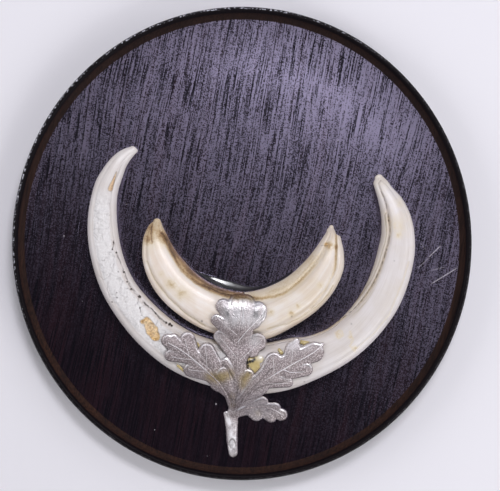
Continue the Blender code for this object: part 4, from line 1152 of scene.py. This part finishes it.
# %% The silver's finish
def cast_silver():
    finish = Finish("cast_silver", Metallic=1.0)
    place = finish.place()
    tarnish_and_fold_shade, rub_and_highlight, shade_and_dark_spots, polish = finish.marks()
    stipple, grain = place.cells(1450.0), place.noise(1500.0, 3.0, 0.65)
    cloud, tint = place.noise(120.0, 3.0, 0.5), grain.span(0.35, 0.65)
    olive = finish.mix(tint, (0.27, 0.2, 0.1), (0.5, 0.41, 0.25))
    brown = finish.mix(tint, (0.17, 0.09, 0.042), (0.48, 0.31, 0.17))
    _, y, _ = place.split()
    # Layers: the bright one is rubbed metal and painted highlight, the tarnish one also paints
    # shade on the top strip, the brown one above y = -30 mm is painted shade on the folded-down
    # strip, and the dark one is painted shade with dark spots.
    colour = finish.layers((0.84, 0.76, 0.77), (stipple.span(0.15, 0.55), (0.3, 0.255, 0.26)),
                           (cloud.span(0.4, 0.65, 0.0, 0.25), (0.5, 0.43, 0.42)),
                           (rub_and_highlight, (0.9, 0.88, 0.9)), (tarnish_and_fold_shade, olive),
                           (y.span(-0.0325, -0.03, 0.0, 0.9), brown), (shade_and_dark_spots, (0.09, 0.075, 0.07)))
    rough = grain.span(0.3, 0.7, 0.54, 0.72) - polish * 0.32
    skin = (grain - stipple * 0.9) * rub_and_highlight.span(0, 1, 1.0, 0.25)
    return finish.done(Base_Color=colour, Roughness=rough, Normal=finish.bump(skin, 1.0, 0.15))


# (x, y, radius, strength)
# The three spots near y = -30 paint shade on the folded-down top strip; the others are tarnish.
TARNISH_AND_FOLD_SHADE = (
    (-18.5, -76.6, 3, 0.7), (-14, -77.2, 3.2, 0.8), (-11, -76.7, 3, 0.8), (-6.8, -74.8, 2.8, 0.8),
    (1.6, -77.6, 3, 0.95), (4, -74.6, 2.2, 0.8), (0.6, -82, 2.4, 0.6), (-5.6, -88.5, 2.2, 0.4),
    (-5.4, -94, 2, 0.4), (9.6, -99, 2.2, 0.3), (-3, -30, 3, 1.3), (2, -29.6, 3, 1.3),
    (6.2, -31.4, 2, 1.2))
# Painted highlights on the leaves.
LEAF_HIGHLIGHTS = ((28.4, -55.6, 5.5, 0.8), (37, -56.8, 4, 0.5), (-15.5, -54.5, 3.5, 0.5),
              (7.5, -55.5, 3.5, 0.5), (10, -97, 9, 0.25))
# (x, y, radius)
GLUE_CRUMBS = (
    (3.2, -68.4, 0.95), (4.8, -67.8, 0.8), (6.2, -67.4, 0.85), (7.2, -66.6, 0.7), (3.6, -70.3, 0.6))
# The painted highlight on the fold, with its polish, comes in between the first two places on y and
# goes between the last two.
FOLD_SHINE = (-50.5, -43.0, -32.5, -30.5)


def sprig_marks(x, y):
    """Tarnish in the hollows, bright where rubbed, painted highlights where the metal faces the
    main light, and painted shade in lines, on lower edges and on the folded-down top strip.
    """
    noise, reach = partial(lumps, x, y), 0.2
    inside = -sprig_distance(x, y)
    ahead, behind = ((sprig_distance(x, y + move), relief(x, y + move)) for move in (reach, -reach))
    upward = np.clip((ahead[0] - behind[0]) / (2 * reach), 0, 1)
    falls = (behind[1] - ahead[1]) / (2 * reach)
    wear_and_light, mottled = 0.55 + 0.45 * noise(5.0, 3), 0.75 + 0.9 * noise(2.2, 8, 3)
    low, full, full_end, high = FOLD_SHINE
    streaks = 0.62 + 0.38 * lumps(x * 2, y * 0.35, 2.0, 5)
    fold = between(y, low, full) * between(y, high, full_end) * streaks * between(x, -15.5, -6.0)
    stem = between(bars_distance(x, y, STEM), 0.2, -1.6) * between(y, -101, -109)
    bud = between(bar_distance(x, y, STEM_BUD[0]), 0.2, -1.2)
    polish = np.maximum(fold * between(y, -47, -40), 1.8 * wear_and_light * upward * notch(inside - 0.9, 0.6))
    # Painted highlights: edges and slopes facing +y, towards the main light, and the fold and leaf
    # spots are painted bright; the stem and bud are pale and mottled, and polished places are
    # bright as well.
    rub_and_highlight = np.max([1.35 * wear_and_light * upward * notch(inside - 0.85, 0.7),
                     0.45 * wear_and_light * between(falls, 0.15, 0.6), fold, mottled * stem, mottled * bud,
                     *(dabs(x, y, spot) for spot in LEAF_HIGHLIGHTS)], axis=0)
    # Painted shade: lower edges facing away from the main light, the groove inside the edge, the
    # creases and the upper side of the stem's cut ring. A broad darker patch over the left leaf,
    # the stem's dark mottles, a small hole and the glue crumbs are dark spots too.
    shade_and_dark_spots = 0.35 * between(-falls, 0.3, 1.2) * between(inside, 1.4, 0.5)
    shade_and_dark_spots = shade_and_dark_spots + 0.36 * (0.2 + 0.8 * upward) * notch(inside - 1.75, 0.35)
    shade_and_dark_spots = shade_and_dark_spots + dabs(x, y, (-28.0, -66.0, 14.0, 0.14))
    shade_and_dark_spots = shade_and_dark_spots + 0.45 * between(noise(1.8, 9), 0.20, 0.60) * between(-y, 99, 104)
    shade_and_dark_spots = np.max([shade_and_dark_spots, *(notch(line_distance(x, y, path), 0.4, 0.5) for path in CREASES),
                   *(1.3 * dabs(x, y, crumb) for crumb in GLUE_CRUMBS)], axis=0)
    ring = notch(ring_distance(x, y), 0.2)
    shade_and_dark_spots = shade_and_dark_spots + dabs(x, y, (4.5, -74.2, 0.45)) + 0.8 * ring * between(y, -120.0, -115.0)
    shade_and_dark_spots = shade_and_dark_spots * (1 - 0.6 * rub_and_highlight * (1 - ring))
    rub_and_highlight = np.maximum(rub_and_highlight, polish)
    return np.stack((dabs(x, y, *TARNISH_AND_FOLD_SHADE) * (1 - 0.5 * rub_and_highlight), rub_and_highlight, shade_and_dark_spots, polish), -1)


# %% Ribs and veins with Geometry Nodes
SPRIG_STEP, WIRE_SPACING, WIRE_SIDES, WIRE_SINKS = 0.36, 0.6, 8, 0.25


def build_sprig():
    silver = cast_silver()
    points, faces = height_solid(sprig_distance, (-50, -130), (52, -25), SPRIG_STEP, sprig_top,
                                 sprig_under)
    marks = sprig_marks(points[:, 0], points[:, 1])
    # Painted shade: the underside is painted darker.
    marks[len(points) // 2:] = (0, 0, 0.4, 0)
    tree, ids = geometry_tree(
        "tapered wire",
        {"Line": "Geometry", "Start radius": 0.001, "End radius": 0.0005, "Points": 20,
         "Sides": 8},
        {"spread": "GeometryNodeResampleCurve", "along": "GeometryNodeSplineParameter",
         "taper": "ShaderNodeMapRange", "circle": "GeometryNodeCurvePrimitiveCircle",
         "sweep": "GeometryNodeCurveToMesh"},
        {("circle", "Radius"): 1.0, ("sweep", "Fill Caps"): True},
        """given.Line > spread.Curve
        given.Points > spread.Count
        along.Factor > taper.Value
        given.Start radius > taper.To Min
        given.End radius > taper.To Max
        given.Sides > circle.Resolution
        spread.Curve > sweep.Curve
        circle.Curve > sweep.Profile Curve
        taper.Result > sweep.Scale
        sweep.Mesh > real.Geometry""")
    for start, end, path in RIBS + VEINS:
        wear_and_light = 0.25 if path == RIBS[0][2] else 0.9 if start > 0.25 else 0.6
        x, y = np.array(curved(path, WIRE_SPACING)).T
        line = np.stack((x, y, sprig_top(x, y) - WIRE_SINKS * start), -1).tolist()
        places, sides = run_nodes(line, tree, ids, Start_radius=start * MM, End_radius=end * MM,
                                  Points=len(line), Sides=WIRE_SIDES, Finish=silver)
        faces += [tuple(len(points) + k for k in side) for side in sides]
        # Raised ribs and veins are painted bright, as rub and painted highlight, fading out towards
        # the stem.
        wear_and_light = wear_and_light * between(np.hypot(places[:, 0] + 4, places[:, 1] + 90), 18.0, 29.0)
        points = np.concatenate((points, places))
        marks = np.concatenate((marks, np.stack((0 * wear_and_light, wear_and_light, 0 * wear_and_light, 0.3 * wear_and_light), -1)))
    make_piece("cast_oak_sprig", points, faces, silver, crease=65.0,
               node="oak_sprig", marks=marks)


build_sprig()

# %% [markdown]
# ## The glue
#
# Amber glue has squeezed out between the leaves. The largest drop fills the notch between the
# central and the right leaf, with black crumbs along its upper edge.

# %% The drops of glue
GLUE = (
    (4, -68.6, 2.6, 10.4, -66.4, 2.2), (7, -68, 3.4, 8.2, -72.4, 2.4),
    (34.2, -56.6, 0.9, 38.5, -57.8, 1.5), (21.5, -61, 0.8, 24.2, -64.5, 1.2),
    (-25.8, -57.6, 0.8, -23.2, -61.4, 1.3), (-36.8, -70.3, 0.7, -33, -73.6, 0.8))
GLUE_GAP, GLUE_FILM, GLUE_RISE, GLUE_STEP = 0.15, 0.25, 0.55, 0.25


def glue_distance(x, y):
    return np.maximum(bars_distance(x, y, GLUE), GLUE_GAP - sprig_distance(x, y))


def amber_glue():
    finish = Finish("amber_glue", Coat_Weight=0.6, Coat_Roughness=0.15)
    cloud = finish.place().noise(420.0)
    crumbs, pale, _, _ = finish.marks()
    colour = finish.layers((0.62, 0.51, 0.25), (cloud.span(0.35, 0.65), (0.47, 0.36, 0.15)),
                           (pale, (0.78, 0.74, 0.66)), (crumbs, (0.012, 0.009, 0.008)))
    return finish.done(Base_Color=colour, Roughness=cloud.span(0.3, 0.7, 0.3, 0.5),
                       Normal=finish.bump(cloud, 0.4, 0.2))


def build_glue():
    height, xs, ys = trophy_tops()
    bed = reading(widened(height, np.maximum, 2 * FOLD_STEP) + GLUE_GAP, xs, ys)

    def top(x, y):
        bulge = np.sqrt(np.clip(-glue_distance(x, y) / 2.0, 0, 1))
        return np.maximum(bed(x, y), sheet_under(x, y)) + GLUE_FILM + GLUE_RISE * bulge

    points, faces = height_solid(glue_distance, (-45, -80), (45, -50), GLUE_STEP, top, bed)
    x, y, _ = points.T
    crumbs = 1.8 * np.max([dabs(x, y, crumb) for crumb in GLUE_CRUMBS], axis=0)
    marks = np.stack((crumbs, dabs(x, y, (10.8, -64.6, 2.4)), 0 * x, 0 * x), -1)
    make_piece("amber_glue", points, faces, amber_glue(), crease=50.0, marks=marks)


build_glue()

# %% [markdown]
# ## The putty
#
# Where the two short tusks meet, a bed of glossy black putty fills the gap. It was smoothed with a
# wet finger, so its skin is shiny and its free edge thins out in a soft bow.

# %% The putty bed
PUTTY_HEIGHT, PUTTY_STEPS, PUTTY_SHARES, PUTTY_NARROWEST = 3.0, 140, 25, 0.4
# (share of the width, share of the height)
PUTTY_SKIN = (
    (0, 0), (0.04, 0.2), (0.1, 0.3), (0.18, 0.37), (0.34, 0.44), (0.5, 0.51), (0.66, 0.6),
    (0.8, 0.72), (0.9, 0.84), (1, 1))
# (direction from the upper tusks' centre in degrees, radius)
PUTTY_EDGE = (
    (229, 43), (237, 41.2), (247, 39.6), (257, 39.3), (266, 40.4), (275, 41.9), (287, 42.8),
    (299, 42.6), (311, 43))


def black_putty():
    finish = Finish("black_putty", Coat_Roughness=0.13)
    place = finish.place()
    waves = place.noise(260.0, 2.0, 0.5)
    colour = finish.mix(waves.span(0.4, 0.6), (0.006, 0.005, 0.007), (0.018, 0.015, 0.018))
    x, _, _ = place.split()
    return finish.done(Base_Color=colour, Roughness=x.span(-0.013, -0.005, 0.16, 0.42),
                       Coat_Weight=x.span(-0.013, -0.004, 0.8, 0.05),
                       Normal=finish.bump(waves, 0.5, 0.25))


def build_putty():
    share = np.linspace(0, 1, PUTTY_SHARES)
    skin = np.append(np.interp(share, *zip(*PUTTY_SKIN)), 0.0)
    share = np.append(share, 1.0)
    along = np.linspace(0, 1, PUTTY_STEPS)[:, None]
    degrees = PUTTY_EDGE[0][0] + (PUTTY_EDGE[-1][0] - PUTTY_EDGE[0][0]) * along
    held = np.min([measured(tusk, 1, np.clip(turn_at(tusk, degrees), 0, tusk["stations"][-1][0]))
                   for tusk in (TUSKS["tusk_upper_left"], TUSKS["tusk_upper_right"])], axis=0) - GAP
    free = np.minimum(smooth_through(PUTTY_EDGE, 1, degrees), held - PUTTY_NARROWEST)
    swell = np.minimum(1.0, 0.35 + 2.6 * np.sin(math.pi * along))
    radius, angle = free * (1 - share) + held * share, np.radians(degrees)
    points = np.stack((UPPER_CENTRE[0] + radius * np.cos(angle),
                       UPPER_CENTRE[1] + radius * np.sin(angle),
                       FIELD + GAP + PUTTY_HEIGHT * skin * swell), -1).reshape(-1, 3)
    around = len(share)
    faces = tube_faces(PUTTY_STEPS, around)
    faces += [tuple(range(around)), tuple(range(len(points) - around, len(points)))]
    make_piece("smoothed_putty", points, faces, black_putty(), crease=50.0,
               node="putty_bed")


build_putty()

# %% [markdown]
# ## The floor, the light and the camera
#
# The trophy lies on a plain pale table under soft studio light. The main light hangs beyond the top
# of the trophy, so it mirrors in the upper half of the dark field, and two weaker ones stand left
# and right. The camera looks straight down.

# %% The table
def build_table():
    far = 3000.0 * MM
    mesh = bpy.data.meshes.new("table")
    mesh.from_pydata([(-far, -far, 0), (far, -far, 0), (far, far, 0), (-far, far, 0)], [],
                     [(0, 1, 2, 3)])
    mesh.materials.append(Finish("pale_table", Roughness=0.75,
                                 Base_Color=(0.83, 0.815, 0.86)).material)
    piece = put("table", mesh)


build_table()

# %% The lights
# (name, place, width, height, watts, colour); each light looks at the middle of the trophy.
LIGHTS = (("main light", (190, 540, 1070), 400, 220, 6.4, (0.955, 0.95, 1.0)),
          ("left light", (-950, 150, 650), 500, 700, 2.9, (1, 1, 1)),
          ("right light", (950, 50, 700), 500, 700, 1.9, (1, 1, 1)),
          ("near light", (0, -900, 700), 700, 400, 0.4, (1, 1, 1)),
          ("near right light", (700, -700, 700), 500, 500, 4.4, (1, 1, 1)))
for name, place, width, height, watts, colour in LIGHTS:
    lamp = bpy.data.lights.new(name, "AREA")
    lamp.shape, lamp.size, lamp.size_y = "RECTANGLE", width * MM, height * MM
    lamp.energy, lamp.color = watts, colour
    light = put(name, lamp)
    light.location = Vector(place) * MM
    light.rotation_euler = (-Vector(place)).to_track_quat("-Z", "Y").to_euler()


def light_tent(strength, colour, opening, edge, dim):
    """Soft white walls all round, with a dim opening overhead through which the camera looks."""
    world = bpy.data.worlds.new("light tent")
    world.use_nodes = True
    wall = world.node_tree.nodes["Background"]
    _, _, up = add_node(world.node_tree, "TexCoord", {}, "Generated").split()
    ends = (math.cos(math.radians(angle)) for angle in (opening + edge, opening))
    feed(wall.inputs["Color"], colour)
    feed(wall.inputs["Strength"], up.span(*ends, strength, strength * dim, "SMOOTHSTEP"))
    bpy.context.scene.world = world


light_tent(0.58, (0.94, 0.93, 1.0), 35.0, 25.0, 0.04)
bpy.context.scene.view_settings.view_transform = "Standard"

# %% The camera
lens = bpy.data.cameras.new("camera")
lens.lens, lens.sensor_width = 89.97, 36.0
lens.clip_start, lens.clip_end = 0.01, 20.0
camera = put("camera", lens)
camera.location = Vector((4.765, -1.176, FIELD + 735.0)) * MM
bpy.context.scene.camera = camera
